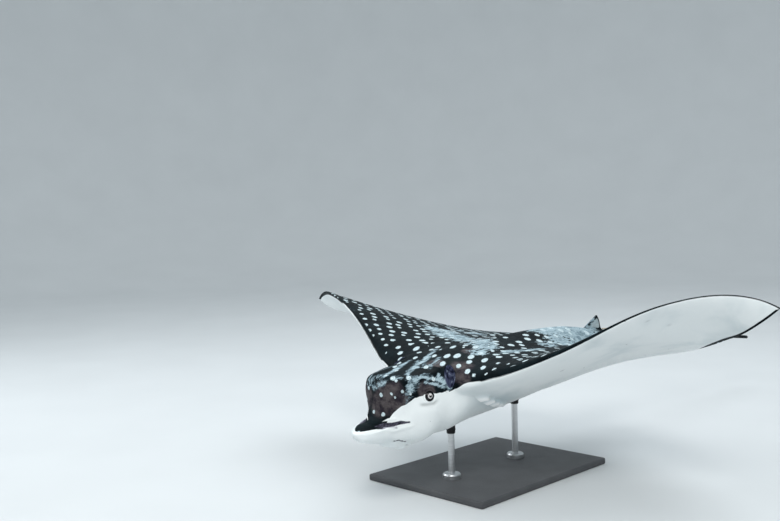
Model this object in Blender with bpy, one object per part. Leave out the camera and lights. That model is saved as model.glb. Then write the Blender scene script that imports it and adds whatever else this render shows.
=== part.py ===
"""Spotted eagle ray: a still, life-size swimming pose, held on a plain display stand.

Lengths are in metres.  The animal faces -Y, its left side is +X and +Z is up.  Its surface is one
closed sheet of quads, worked out from a few body lines and wing curves.  Flat cuts then part that
sheet into the head, trunk, fins and tail.  The origin is the middle of the stand's underside.
"""
import bmesh
import bpy
import numpy as np
from mathutils import Vector
from mathutils.bvhtree import BVHTree

# ---- where the animal hangs over the middle of its base
LIFT = 0.25          # height of the wing roots above the floor
BASE_BACK = 0.46     # distance from the snout to the middle of the base
GAP = 0.0003         # clearance between neighbouring pieces

# ---- wing plan, measured on the animal laid flat
HALF_SPAN = 0.7405    # middle of the back to a wing tip
TIP_Y = 0.529        # wing tip, back from the snout
ROOT_X, ROOT_Y = 0.088, 0.205    # where the leading edge leaves the head
REAR_X, REAR_Y = 0.160, 0.860    # free rear corner of the wing
AXIL_X, AXIL_Y = 0.056, 0.845    # where the trailing edge meets the tail root
LEADING_SWEEP = 0.140            # how much the leading edge curves back near the tip
TRAILING_BOW = 0.023
TIP_FULL, TIP_POWER = 0.55, 16   # how full the outline is just before the tip
EDGE_HALF = 0.0013               # half the thickness of the wing's rim
EDGE_FADE = 0.012                # share of the chord over which the rim rounds off
UPPER_SHARE = 0.53               # share of the wing's thickness above its mean sheet
ROOT_REACH, ROOT_FOIL = 0.15, 0.30   # how far out and back the root's underside opens gently
HOLLOW_Q, HOLLOW_Q_REACH = 0.39, 0.11    # the underside is flattened round this distance out
HOLLOW_S, HOLLOW_S_REACH = 0.60, 0.30    # and round this share of the chord

# ---- wing pose: slope of the span and twist of the chord, in degrees, from root to tip
RISE_AT = (0.0, 0.13, 0.37, 0.61, 0.83, 1.0)
TWIST_AT = (0.0, 0.13, 0.45, 0.75, 1.0)
RISE = {1: (0.0, 10.1, 20.8, 25.7, 13.1, -5.8), -1: (0.0, 18.8, 20.0, 13.6, 1.1, -4.1)}
TWIST = {1: (0.0, 0.0, 8.1, 28.0, 71.7), -1: (0.0, 0.0, 8.4, 19.4, 61.6)}
AXIS_PLACE, AXIS_Y = 0.35, 0.45      # the twist turns about this share of the chord, or this y
AXIS_BLEND = 0.3                     # distance out at which the chord's share takes over
NECK_Y, NECK_LENGTH = 0.10, 0.10     # the head stays put; the pose sets in behind it

# ---- head lines, at nine stations: snout tip, bill (2), crease, brow (2), crown, eye, wing root
TOP_Y = (0.000, 0.009, 0.031, 0.060, 0.069, 0.068, 0.088, 0.138, 0.205)
TOP_Z = (-0.0695, -0.0645, -0.0570, -0.049, -0.012, 0.030, 0.051, 0.058, 0.063)
KEEL_Y = (0.001, 0.011, 0.039, 0.067, 0.088, 0.108, 0.128, 0.157, 0.205)
KEEL_Z = (-0.076, -0.0875, -0.0975, -0.1025, -0.1085, -0.1145, -0.117, -0.117, -0.112)
SIDE_X = (0.007, 0.023, 0.037, 0.047, 0.053, 0.060, 0.069, 0.081, 0.088)
SIDE_Y = (0.002, 0.011, 0.034, 0.061, 0.084, 0.104, 0.125, 0.157, 0.205)
SIDE_Z = (-0.0735, -0.0710, -0.0655, -0.0610, -0.057, -0.051, -0.041, -0.014, 0.004)
CROWN_FULL = (0.60, 0.78, 0.88, 0.84, 0.86, 1.12, 0.92, 0.74, 0.68)
CHEEK_FULL = (0.55, 0.50, 0.30, 0.10, 0.25, 0.60, 0.62, 0.62, 0.62)
SHELF_IN = (0.00, 0.05, 0.20, 0.45, 0.42, 0.18, 0.03, 0.00, 0.00)
JOWL_FULL = (0.55, 0.58, 0.60, 0.60, 0.62, 0.64, 0.66, 0.68, 0.66)
KEEL_FULL = (0.60, 0.64, 0.68, 0.70, 0.72, 0.72, 0.72, 0.72, 0.70)

# ---- trunk and tail lines, as (distance back, size)
BACK_Z = ((0.205, 0.063), (0.28, 0.073), (0.38, 0.082), (0.50, 0.084), (0.62, 0.0895), (0.75, 0.086),
          (0.86, 0.0735), (0.95, 0.0605), (1.05, 0.047), (1.25, 0.027), (1.55, -0.012), (1.93, -0.066))
BELLY_Z = ((0.205, -0.112), (0.28, -0.099), (0.38, -0.085), (0.50, -0.072), (0.62, -0.052),
           (0.75, -0.025), (0.86, -0.002), (0.95, 0.012), (1.05, 0.018), (1.25, 0.007),
           (1.55, -0.028), (1.93, -0.077))
TRUNK_HALF = ((0.205, 0.088), (0.28, 0.112), (0.38, 0.134), (0.50, 0.140), (0.62, 0.125),
              (0.74, 0.092), (0.845, 0.056))
STERN_HALF = ((0.845, 0.056), (0.875, 0.054), (0.91, 0.066), (0.955, 0.078), (0.978, 0.062),
              (0.992, 0.026), (1.02, 0.0155), (1.05, 0.0140), (1.25, 0.0100), (1.55, 0.0078),
              (1.93, 0.0055))
WING_THICK = ((0.0, 0.16), (0.088, 0.128), (0.14, 0.098), (0.20, 0.069), (0.30, 0.038), (0.42, 0.020),
              (0.55, 0.012), (0.66, 0.008), (0.7405, 0.0040))
# how a trunk section turns into its open side, and how full its back and belly are
SIDE_BLEND, SIDE_REACH, SIDE_FULL = 0.13, 0.42, 0.315
TRUNK_CROWN, TRUNK_KEEL = 0.45, 0.50
ROOT_DROP, REAR_LIFT = 0.10, 0.012   # over what length the wing root settles; its rise at the rear
REAR_LIFT_Y, REAR_LIFT_LENGTH = 0.55, 0.30
QUARTER_ROUND = 0.552                # arm of a curve that draws a quarter circle
HEAD_BOW, CROWN_BOW = 0.60, 0.25     # how head sections lean back at the cheek and the crown
# pelvic flange of a tail root section: where it starts, how soon it is full, how far it sags,
# how thin it is drawn in, how thick its edge is, and the arm of its round core
FLANGE_FROM, FLANGE_REACH, FLANGE_SAG = 1.1, 0.03, 0.25
FLANGE_IN, FLANGE_EDGE, FLANGE_CORE = 0.75, 0.06, 0.90
TIP_CLOSE = 0.9985                   # where the last ring round a wing tip lies
RING_CROWD, TIP_CROWD = 1.25, 1.15   # how the rings crowd to the tip, and their points to the front
FAN_OUT, SETTLE_OUT = 0.35, 0.50     # share of the span where the rings' points and level settle
TAIL_END_Y = 1.93
STERN_END_Y = 1.05

# ---- dorsal fin, eyes, tail spine
FIN_FRONT, FIN_APEX, FIN_REAR = 0.890, 0.954, 0.9695
FIN_HEIGHT, FIN_HALF = 0.0405, 0.0042
FIN_RISE, FIN_DROP = 0.95, 0.34      # bend of the fin's front and rear outline
EYE_Y, EYE_Z, EYE_RADIUS, EYE_SINK = 0.1525, 0.0012, 0.0130, 0.0085
EYE_SEEK_X = 0.09                    # a place outside the head, level with the eye
SPINE_LENGTH, SPINE_HALF_WIDTH, SPINE_THICK, SPINE_Y = 0.085, 0.0040, 0.0032, 0.985
SPINE_TAPER, SPINE_POINT, SPINE_THIN = 0.90, 1.5, 0.55
SPINE_CLEAR, SPINE_RISE, SPINE_SHOULDER = 0.0011, 0.006, 0.40
SPINE_STEPS = 8

# ---- where the cuts run
WING_CUT_X = 0.150
PELVIC_CUT_X = 0.036
HEAD_CUT_Y, STERN_CUT_Y, TAIL_CUT_1, TAIL_CUT_2 = 0.270, 0.8625, 1.15, 1.54
LOBE_CUT_TOP, LOBE_CUT_KEEL = (0.0, 0.047, -0.046), (0.0, 0.098, -0.107)
FIN_CUT_FRONT, FIN_CUT_REAR = 0.0025, 0.0050   # height of the fin's cut over the back

# ---- display stand
BASE_WIDTH, BASE_DEPTH, BASE_HEIGHT, BASE_BEVEL = 0.36, 0.50, 0.016, 0.004
ROD_RADIUS, COLLAR_RADIUS, COLLAR_HEIGHT = 0.008, 0.022, 0.012
COLLAR_WALL, COLLAR_TOP = 0.75, 0.90   # height of its upright wall, and radius of its top, as shares
ROD_Y = {"stand_rod_front": 0.315, "stand_rod_rear": 0.565}

# ---- how finely the surface is divided
HEAD_ROWS, WING_ROWS, STERN_ROWS, TAIL_ROWS = 20, 18, 20, 12
LOWER_COLUMNS, UPPER_COLUMNS, SPAN_COLUMNS = 7, 8, 17
PATH_STEPS = 240


def clear_scene():
    for obj in list(bpy.data.objects):
        bpy.data.objects.remove(obj, do_unlink=True)


def ease(t):
    t = np.clip(t, 0.0, 1.0)
    return t * t * (3 - 2 * t)


def curve(xs, ys):
    """Monotone cubic through the points (xs, ys)."""
    xs = np.asarray(xs, float)
    ys = np.asarray(ys, float)
    step = np.diff(xs)
    rise = np.diff(ys) / step
    slope = np.zeros(len(xs))
    slope[0], slope[-1] = rise[0], rise[-1]
    for k in range(1, len(xs) - 1):
        if rise[k - 1] * rise[k] > 0:
            a = 2 * step[k] + step[k - 1]
            b = step[k] + 2 * step[k - 1]
            slope[k] = (a + b) / (a / rise[k - 1] + b / rise[k])

    def value(t):
        t = np.clip(np.asarray(t, float), xs[0], xs[-1])
        k = np.clip(np.searchsorted(xs, t, side="right") - 1, 0, len(xs) - 2)
        s = (t - xs[k]) / step[k]
        start = (1 + 2 * s) * (1 - s) ** 2 * ys[k] + s * (1 - s) ** 2 * step[k] * slope[k]
        end = s * s * (3 - 2 * s) * ys[k + 1] + s * s * (s - 1) * step[k] * slope[k + 1]
        return start + end
    return value


def table(rows):
    return curve([r[0] for r in rows], [r[1] for r in rows])


back_z = table(BACK_Z)
belly_z = table(BELLY_Z)
trunk_half = table(TRUNK_HALF)
stern_half = table(STERN_HALF)
wing_thick = table(WING_THICK)
HEAD_LINES = {"top_y": TOP_Y, "top_z": TOP_Z, "keel_y": KEEL_Y, "keel_z": KEEL_Z, "side_x": SIDE_X,
              "side_y": SIDE_Y, "side_z": SIDE_Z, "crown": CROWN_FULL, "cheek": CHEEK_FULL,
              "shelf": SHELF_IN, "jowl": JOWL_FULL, "keel": KEEL_FULL}
HEAD_CURVES = {name: curve(range(len(line)), line) for name, line in HEAD_LINES.items()}
ROOT_STATION = len(TOP_Y) - 1


# ---------------------------------------------------------------- wings
def tip_bow(t):
    """How much the edges bow outward just before the tip, where t is 1."""
    return TIP_FULL * t ** TIP_POWER * (1 - t)


def leading_edge(q):
    """Distance back of the leading edge at q from the midline."""
    t = np.clip((q - ROOT_X) / (HALF_SPAN - ROOT_X), 0, 1)
    share = (1 - LEADING_SWEEP) * t + LEADING_SWEEP * t ** 4 - tip_bow(t)
    return ROOT_Y + (TIP_Y - ROOT_Y) * share


def trailing_edge(q):
    t = np.clip((q - REAR_X) / (HALF_SPAN - REAR_X), 0, 1)
    share = (1 - TRAILING_BOW) * t + TRAILING_BOW * (1 - (1 - t) ** 2) - tip_bow(t)
    outer = REAR_Y - (REAR_Y - TIP_Y) * share
    inner = (REAR_Y - AXIL_Y) * np.clip((REAR_X - q) / (REAR_X - AXIL_X), 0, 1) ** 2
    return outer - inner


def foil(s):
    """Thickness of a streamlined section along its chord, 1 at its thickest."""
    s = np.clip(s, 0, 1)
    bow = 0.2969 * np.sqrt(s) - 0.1260 * s - 0.3516 * s ** 2 + 0.2843 * s ** 3 - 0.1036 * s ** 4
    return 10 * bow


def wing_half(q, s, side):
    """Height of the wing's upper (side 1) or lower (side -1) face over its mean sheet."""
    rim = EDGE_HALF * np.clip(np.minimum(s, 1 - s) / EDGE_FADE, 0, 1) ** 0.5
    bow = foil(s)
    if side < 0:
        gentle = 1 - (1 - np.clip(s / ROOT_FOIL, 0, 1)) ** 2
        at_root = 1 - ease((q - ROOT_X) / ROOT_REACH)
        bow = bow + at_root * (np.minimum(gentle, bow) - bow)
        hollow = ((q - HOLLOW_Q) / HOLLOW_Q_REACH) ** 2 + ((s - HOLLOW_S) / HOLLOW_S_REACH) ** 2
        bow = bow * (1 - np.exp(-hollow))
    share = UPPER_SHARE if side > 0 else 1 - UPPER_SHARE
    return float(side * (share * wing_thick(q) * bow + rim))


def chord_place(q, y):
    return float(np.clip((y - leading_edge(q)) / (trailing_edge(q) - leading_edge(q)), 0, 1))


def pose_wing(points, hand):
    """Bend one side's flat points (x >= 0) up and twist them; the head and midline stay put."""
    steps = np.linspace(0, HALF_SPAN, PATH_STEPS * 2)
    rise = np.radians(curve(RISE_AT, RISE[hand])(steps / HALF_SPAN))
    twist = np.radians(curve(TWIST_AT, TWIST[hand])(steps / HALF_SPAN))
    along = np.concatenate([[0], np.cumsum(0.5 * (np.cos(rise[1:]) + np.cos(rise[:-1])) * steps[1])])
    up = np.concatenate([[0], np.cumsum(0.5 * (np.sin(rise[1:]) + np.sin(rise[:-1])) * steps[1])])
    q, y, z = points.T
    x0, z0, a, t = (np.interp(q, steps, line) for line in (along, up, rise, twist))
    outboard = np.clip(q / AXIS_BLEND, 0, 1)
    chord_axis = (1 - AXIS_PLACE) * leading_edge(q) + AXIS_PLACE * trailing_edge(q)
    axis_y = chord_axis * outboard + AXIS_Y * (1 - outboard)
    lift = z * np.cos(t) - (y - axis_y) * np.sin(t)
    back = axis_y + (y - axis_y) * np.cos(t) + z * np.sin(t)
    bent = np.stack([x0 - lift * np.sin(a), back, z0 + lift * np.cos(a)], 1)
    share = ease((y - NECK_Y) / NECK_LENGTH)[:, None]
    return points * (1 - share) + bent * share


# ---------------------------------------------------------------- half sections
def bezier(points, steps):
    a, b, c, d = points
    t = np.linspace(0, 1, steps)[:, None]
    return a * (1 - t) ** 3 + 3 * b * t * (1 - t) ** 2 + 3 * c * t * t * (1 - t) + d * t ** 3


def even(path, count):
    """The path's points, spread evenly along it in count steps."""
    run = np.concatenate([[0], np.cumsum(np.linalg.norm(np.diff(path, axis=0), axis=1))])
    marks = np.linspace(0, run[-1], count + 1)
    return np.stack([np.interp(marks, run, path[:, k]) for k in range(3)], 1)


def head_controls(station):
    """Control points of a head section: keel to side, then side to crown."""
    h = {name: float(line(station)) for name, line in HEAD_CURVES.items()}
    top = np.array([0, h["top_y"], h["top_z"]])
    keel = np.array([0, h["keel_y"], h["keel_z"]])
    side = np.array([h["side_x"], h["side_y"], h["side_z"]])
    rise = (top - side) * h["cheek"]
    cheek = side + [-side[0] * h["shelf"], HEAD_BOW * rise[1], rise[2]]
    crown = top + [side[0] * h["crown"], CROWN_BOW * (side[1] - top[1]), 0]
    jowl = side + [0, (keel[1] - side[1]) * h["jowl"], (keel[2] - side[2]) * h["jowl"]]
    chin = keel + [side[0] * h["keel"], 0, 0]
    return (keel, chin, jowl, side), (side, cheek, crown, top)


def trunk_controls(y):
    """Control points of a trunk section, which is open at the side where the wing joins it."""
    top = np.array([0, y, float(back_z(y))])
    keel = np.array([0, y, float(belly_z(y))])
    w = float(trunk_half(y))
    s = chord_place(w, y)
    settling = 1 - ease((y - ROOT_Y) / ROOT_DROP)
    level = SIDE_Z[-1] * settling + REAR_LIFT * ease((y - REAR_LIFT_Y) / REAR_LIFT_LENGTH)
    upper = np.array([w, y, wing_half(w, s, 1) + level])
    lower = np.array([w, y, wing_half(w, s, -1) + level])
    m = float(ease((y - ROOT_Y) / SIDE_BLEND))
    reach = SIDE_REACH * w * m
    drop = top[2] - upper[2]
    hang = lower[2] - keel[2]
    shoulder = upper + [-reach, 0, drop * (CHEEK_FULL[-1] * (1 - m) + SIDE_FULL * m * m)]
    flank = lower - [reach, 0, hang * (JOWL_FULL[-1] * (1 - m) + SIDE_FULL * m * m)]
    crown = [w * (CROWN_FULL[-1] * (1 - m) + TRUNK_CROWN * m), 0, 0]
    chin = [w * (KEEL_FULL[-1] * (1 - m) + TRUNK_KEEL * m), 0, 0]
    return (keel, keel + chin, flank, lower), (upper, shoulder, top + crown, top)


def stern_controls(y):
    """Control points of the tail root and tail; the pelvic fins are its flat flanges."""
    top = np.array([0, y, float(back_z(y))])
    keel = np.array([0, y, float(belly_z(y))])
    w = float(stern_half(y))
    core = 0.5 * (top[2] - keel[2])
    flat = float(np.clip((w - FLANGE_FROM * core) / FLANGE_REACH, 0, 1))
    side = np.array([w, y, 0.5 * (top[2] + keel[2]) - FLANGE_SAG * core * flat])
    inward = -FLANGE_IN * (w - core) * flat
    bulge = QUARTER_ROUND * core * (1 - flat) + FLANGE_EDGE * core * flat
    wide = [QUARTER_ROUND * w * (1 - flat) + FLANGE_CORE * core * flat, 0, 0]
    above = side + [inward, 0, bulge]
    below = side + [inward, 0, -bulge]
    return (keel, keel + wide, below, side), (side, above, top + wide, top)


def fin_height(y):
    front = np.clip((y - FIN_FRONT) / (FIN_APEX - FIN_FRONT), 0, 1)
    rear = np.clip((FIN_REAR - y) / (FIN_REAR - FIN_APEX), 0, 1)
    return FIN_HEIGHT * min(front ** FIN_RISE, rear ** FIN_DROP)


def raise_fin(path, y):
    """The upper half section with the dorsal fin standing on its midline."""
    root = 3 * FIN_HALF
    x = np.concatenate([path[path[:, 0] > root, 0], np.linspace(root, 0, PATH_STEPS // 3)])
    z = np.interp(x, path[::-1, 0], path[::-1, 2])
    z = z + fin_height(y) * ease(2.2 * (1 - np.clip(x / FIN_HALF, 0, 1)))
    return np.stack([x, np.full(len(x), y), z], 1)


def half_section(station, y):
    """Lower and upper halves of a section: on the head by station, behind it by distance y."""
    if y is None:
        low, high = head_controls(station)
    elif y <= AXIL_Y:
        low, high = trunk_controls(y)
    else:
        low, high = stern_controls(y)
    lower = bezier(low, PATH_STEPS)
    upper = bezier(high, PATH_STEPS)
    if y is not None and FIN_FRONT < y < FIN_REAR:
        upper = raise_fin(upper, y)
    return even(lower, LOWER_COLUMNS), even(upper, UPPER_COLUMNS)


# ---------------------------------------------------------------- the closed surface
class Sheet:
    """Points and faces of the animal's surface while it is being made."""

    def __init__(self):
        self.points = []
        self.faces = []

    def point(self, x, y, z):
        self.points.append((float(x), float(y), float(z)))
        return len(self.points) - 1

    def face(self, corners, hand):
        corners = [c for k, c in enumerate(corners) if c != corners[k - 1]]
        if len(corners) > 2:
            self.faces.append(corners if hand > 0 else corners[::-1])

    def strip(self, one, two, hand):
        for k in range(len(one) - 1):
            self.face([one[k], two[k], two[k + 1], one[k + 1]], hand)


def body_stations():
    """(station, y) of every row, snout to tail end, and which rows carry the wing."""
    rows = [(s, None) for s in np.linspace(0, ROOT_STATION, HEAD_ROWS + 1)]
    part = np.arange(1, WING_ROWS + 1) / WING_ROWS
    rows += [(None, y) for y in ROOT_Y + (AXIL_Y - ROOT_Y) * part ** 1.5]
    rows += [(None, y) for y in np.linspace(AXIL_Y, STERN_END_Y, STERN_ROWS + 1)[1:]]
    rows += [(None, y) for y in np.linspace(STERN_END_Y, TAIL_END_Y, TAIL_ROWS + 1)[1:]]
    return rows, HEAD_ROWS, HEAD_ROWS + WING_ROWS


def lay_rows(sheet):
    """Lay the rings of the head, trunk and tail; return each row's lower and upper point lists."""
    stations, first, last = body_stations()
    rows = []
    for k, (station, y) in enumerate(stations):
        lower, upper = half_section(station, y)
        keel = sheet.point(*lower[0])
        top = sheet.point(*upper[-1])
        row = {}
        for hand in (1, -1):
            low = [keel] + [sheet.point(hand * p[0], p[1], p[2]) for p in lower[1:]]
            if first < k < last:
                start = sheet.point(hand * upper[0][0], upper[0][1], upper[0][2])
            else:
                start = low[-1]
            high = [start] + [sheet.point(hand * p[0], p[1], p[2]) for p in upper[1:-1]] + [top]
            row[hand] = (low, high)
        rows.append(row)
    return rows, first, last


def lay_wing(sheet, rows, first, last, hand):
    """Grow one wing out from the open side of the trunk and close its tip."""
    lower = [rows[k][hand][0][-1] for k in range(first, last + 1)]
    upper = [rows[k][hand][1][0] for k in range(first, last + 1)]
    roots = [sheet.points[k] for k in upper]
    for j in range(1, SPAN_COLUMNS + 1):
        v = TIP_CLOSE * (1 - (1 - j / SPAN_COLUMNS) ** RING_CROWD)
        new_lower, new_upper = [], []
        for k, (x, y, z) in enumerate(roots):
            w = abs(x)
            q = w + (HALF_SPAN - w) * v
            root_place = chord_place(w, y)
            tip_place = 0.5 * (1 - np.cos(np.pi * (k / (len(roots) - 1)) ** TIP_CROWD))
            s = root_place + (tip_place - root_place) * ease(v / FAN_OUT)
            level = (z - wing_half(w, root_place, 1)) * (1 - ease(v / SETTLE_OUT))
            back = leading_edge(q) + (trailing_edge(q) - leading_edge(q)) * s
            if k in (0, len(roots) - 1):
                rim = sheet.point(hand * q, back, level)
                new_lower.append(rim)
                new_upper.append(rim)
            else:
                new_lower.append(sheet.point(hand * q, back, level + wing_half(q, s, -1)))
                new_upper.append(sheet.point(hand * q, back, level + wing_half(q, s, 1)))
        sheet.strip(new_lower, lower, hand)
        sheet.strip(upper, new_upper, hand)
        lower, upper = new_lower, new_upper
    sheet.strip(upper, lower, hand)


def ray_surface():
    """Points and faces of the whole animal, posed, in stand coordinates."""
    sheet = Sheet()
    rows, first, last = lay_rows(sheet)
    for one, two in zip(rows, rows[1:]):
        for hand in (1, -1):
            sheet.strip(one[hand][0], two[hand][0], hand)
            sheet.strip(one[hand][1], two[hand][1], hand)
    for row, hand in ((rows[0], 1), (rows[-1], -1)):
        right = row[-1][0][1:] + row[-1][1][1:-1]
        sheet.face(row[1][0] + row[1][1][1:] + right[::-1], hand)
    for hand in (1, -1):
        lay_wing(sheet, rows, first, last, hand)
    points = np.array(sheet.points)
    for hand in (1, -1):
        mine = points[:, 0] * hand > 0
        half = points[mine] * [hand, 1, 1]
        points[mine] = pose_wing(half, hand) * [hand, 1, 1]
    return points + [0, -BASE_BACK, LIFT], sheet.faces


# ---------------------------------------------------------------- Blender objects
def material(name, colour, roughness, metallic=0.0):
    mat = bpy.data.materials.new(name)
    mat.use_nodes = True
    shader = mat.node_tree.nodes["Principled BSDF"]
    shader.inputs["Base Color"].default_value = (*colour, 1.0)
    shader.inputs["Roughness"].default_value = roughness
    shader.inputs["Metallic"].default_value = metallic
    return mat


def add_object(name, bm, mat, smooth=True):
    bmesh.ops.recalc_face_normals(bm, faces=bm.faces)
    mesh = bpy.data.meshes.new(name)
    bm.to_mesh(mesh)
    bm.free()
    if smooth:
        mesh.shade_smooth()
        mesh.set_sharp_from_angle(angle=np.radians(50))
    obj = bpy.data.objects.new(name, mesh)
    bpy.context.scene.collection.objects.link(obj)
    mesh.materials.append(mat)
    return obj


def body_point(x, y, z):
    """A point given in the animal's own frame, in stand coordinates."""
    return Vector((x, y - BASE_BACK, z + LIFT))


def keep(bm, point, normal):
    """Cut with a plane, drop what lies on the normal's side and cap the cut; half a gap is left."""
    normal = Vector(normal).normalized()
    geometry = bm.verts[:] + bm.edges[:] + bm.faces[:]
    bmesh.ops.bisect_plane(bm, geom=geometry, dist=1e-7, plane_co=point - normal * (GAP / 2),
                           plane_no=normal, clear_outer=True)
    rim = [e for e in bm.edges if e.is_boundary]
    if rim:
        filled = bmesh.ops.holes_fill(bm, edges=rim, sides=0)
        bmesh.ops.triangulate(bm, faces=filled["faces"])


def cut_piece(name, whole, cuts, mat):
    bm = bmesh.new()
    bm.from_mesh(whole)
    for point, normal in cuts:
        keep(bm, body_point(*point), normal)
    return add_object(name, bm, mat)


def flip(cut):
    point, normal = cut
    return point, tuple(-c for c in normal)


def lobe_cut():
    top, keel = Vector(LOBE_CUT_TOP), Vector(LOBE_CUT_KEEL)
    along = keel - top
    return LOBE_CUT_TOP, (0.0, -along.z, along.y)


def fin_cut():
    front = float(back_z(FIN_FRONT)) + FIN_CUT_FRONT
    rear = float(back_z(FIN_REAR)) + FIN_CUT_REAR
    return (0.0, FIN_FRONT, front), (0.0, front - rear, FIN_REAR - FIN_FRONT)


def part_body(whole, skin, fin_skin):
    """Part the animal into its named pieces with flat cuts."""
    left = ((WING_CUT_X, 0, 0), (1, 0, 0))
    right = ((-WING_CUT_X, 0, 0), (-1, 0, 0))
    pelvic_left = ((PELVIC_CUT_X, 0, 0), (1, 0, 0))
    pelvic_right = ((-PELVIC_CUT_X, 0, 0), (-1, 0, 0))
    neck, stern, tail_1, tail_2 = (((0, y, 0), (0, 1, 0))
                                   for y in (HEAD_CUT_Y, STERN_CUT_Y, TAIL_CUT_1, TAIL_CUT_2))
    lobe, fin = lobe_cut(), fin_cut()
    cut_piece("rostral_lobe", whole, [neck, lobe], skin)
    head = cut_piece("head", whole, [left, right, neck, flip(lobe)], skin)
    cut_piece("trunk", whole, [left, right, flip(neck), stern], skin)
    cut_piece("pectoral_fin_left", whole, [flip(left)], fin_skin)
    cut_piece("pectoral_fin_right", whole, [flip(right)], fin_skin)
    behind = [left, right, flip(stern), tail_1]
    cut_piece("pelvic_fin_left", whole, behind + [flip(pelvic_left)], fin_skin)
    cut_piece("pelvic_fin_right", whole, behind + [flip(pelvic_right)], fin_skin)
    middle = behind + [pelvic_left, pelvic_right]
    cut_piece("dorsal_fin", whole, middle + [flip(fin)], fin_skin)
    cut_piece("tail_base", whole, middle + [fin], skin)
    cut_piece("tail_middle", whole, [left, right, flip(tail_1), tail_2], skin)
    cut_piece("tail_end", whole, [left, right, flip(tail_2)], skin)
    return head


def guide(name, mesh, offset):
    """A hidden copy of a mesh that cuts its neighbours."""
    obj = bpy.data.objects.new(name, mesh)
    obj.location = offset
    obj.hide_render = True
    obj.display_type = "WIRE"
    bpy.context.scene.collection.objects.link(obj)
    return obj


def subtract(obj, cutter):
    cut = obj.modifiers.new("cut_" + cutter.name, "BOOLEAN")
    cut.operation = "DIFFERENCE"
    cut.solver = "EXACT"
    cut.object = cutter


def nearest_skin(whole, target):
    """The surface point nearest a target, and the outward direction there."""
    faces = [tuple(p.vertices) for p in whole.polygons]
    tree = BVHTree.FromPolygons([v.co for v in whole.vertices], faces)
    place, normal, _, _ = tree.find_nearest(target)
    return place, normal


def add_eyes(whole, head, mat):
    """Eyeballs set in sockets in the sides of the head."""
    for name, hand in (("eye_left", 1), ("eye_right", -1)):
        place, normal = nearest_skin(whole, body_point(hand * EYE_SEEK_X, EYE_Y, EYE_Z))
        centre = place - normal * EYE_SINK
        for role, radius in ((name, EYE_RADIUS), (name + "_socket", EYE_RADIUS + GAP)):
            bm = bmesh.new()
            bmesh.ops.create_icosphere(bm, subdivisions=2, radius=radius)
            bmesh.ops.translate(bm, verts=bm.verts, vec=centre)
            obj = add_object(role, bm, mat)
            if role != name:
                obj.hide_render = True
                obj.display_type = "WIRE"
                subtract(head, obj)


def add_tail_spine(mat):
    """The sting: a thin tapering blade that lies back along the top of the tail."""
    bm = bmesh.new()
    rings = []
    for t in np.linspace(0, 1, SPINE_STEPS + 1):
        y = SPINE_Y + SPINE_LENGTH * t
        half = SPINE_HALF_WIDTH * (1 - SPINE_TAPER * t ** SPINE_POINT)
        low = float(back_z(y)) + SPINE_CLEAR + SPINE_RISE * t
        high = low + SPINE_THICK * (1 - SPINE_THIN * t)
        shoulder = low + SPINE_SHOULDER * (high - low)
        corners = ((half, low), (half, shoulder), (0, high), (-half, shoulder), (-half, low))
        rings.append([bm.verts.new(body_point(x, y, z)) for x, z in corners])
    for one, two in zip(rings, rings[1:]):
        for k in range(len(one)):
            bm.faces.new((one[k - 1], one[k], two[k], two[k - 1]))
    bm.faces.new(rings[0])
    bm.faces.new(rings[-1][::-1])
    return add_object("tail_spine", bm, mat, smooth=False)


def add_stand(whole, paint, steel):
    """A flat base and two short rods whose tops follow the belly."""
    bm = bmesh.new()
    bmesh.ops.create_cube(bm, size=1.0)
    bmesh.ops.scale(bm, vec=(BASE_WIDTH, BASE_DEPTH, BASE_HEIGHT), verts=bm.verts)
    bmesh.ops.translate(bm, vec=(0, 0, BASE_HEIGHT / 2), verts=bm.verts)
    base = add_object("stand_base", bm, paint, smooth=False)
    round_edge = base.modifiers.new("soft_edge", "BEVEL")
    round_edge.width = BASE_BEVEL
    round_edge.segments = 2
    belly = guide("belly_guide", whole, (0, 0, -GAP))
    foot = BASE_HEIGHT + GAP
    profile = ((COLLAR_RADIUS, foot), (COLLAR_RADIUS, foot + COLLAR_WALL * COLLAR_HEIGHT),
               (COLLAR_RADIUS * COLLAR_TOP, foot + COLLAR_HEIGHT),
               (ROD_RADIUS, foot + COLLAR_HEIGHT), (ROD_RADIUS, LIFT))
    for name, y in ROD_Y.items():
        bm = bmesh.new()
        spots = [bm.verts.new((r, 0, z)) for r, z in ((0, foot), *profile, (0, LIFT))]
        edges = [bm.edges.new(pair) for pair in zip(spots, spots[1:])]
        bmesh.ops.spin(bm, geom=spots + edges, cent=(0, 0, 0), axis=(0, 0, 1),
                       angle=2 * np.pi, steps=24, use_duplicate=False)
        bmesh.ops.remove_doubles(bm, verts=bm.verts, dist=1e-6)
        bmesh.ops.translate(bm, verts=bm.verts, vec=(0, y - BASE_BACK, 0))
        subtract(add_object(name, bm, steel), belly)


def main():
    clear_scene()
    skin = material("ray_skin", (0.035, 0.050, 0.055), 0.45)
    fin_skin = material("ray_fin_skin", (0.030, 0.045, 0.050), 0.45)
    eye = material("eye", (0.02, 0.02, 0.02), 0.10)
    bone = material("spine_bone", (0.72, 0.68, 0.58), 0.50)
    paint = material("stand_paint", (0.10, 0.10, 0.11), 0.45)
    steel = material("stand_steel", (0.62, 0.63, 0.64), 0.30, 1.0)
    points, faces = ray_surface()
    whole = bpy.data.meshes.new("whole_ray")
    whole.from_pydata([tuple(p) for p in points], [], faces)
    whole.validate()
    whole.update()
    head = part_body(whole, skin, fin_skin)
    add_eyes(whole, head, eye)
    add_tail_spine(bone)
    add_stand(whole, paint, steel)


main()
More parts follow.
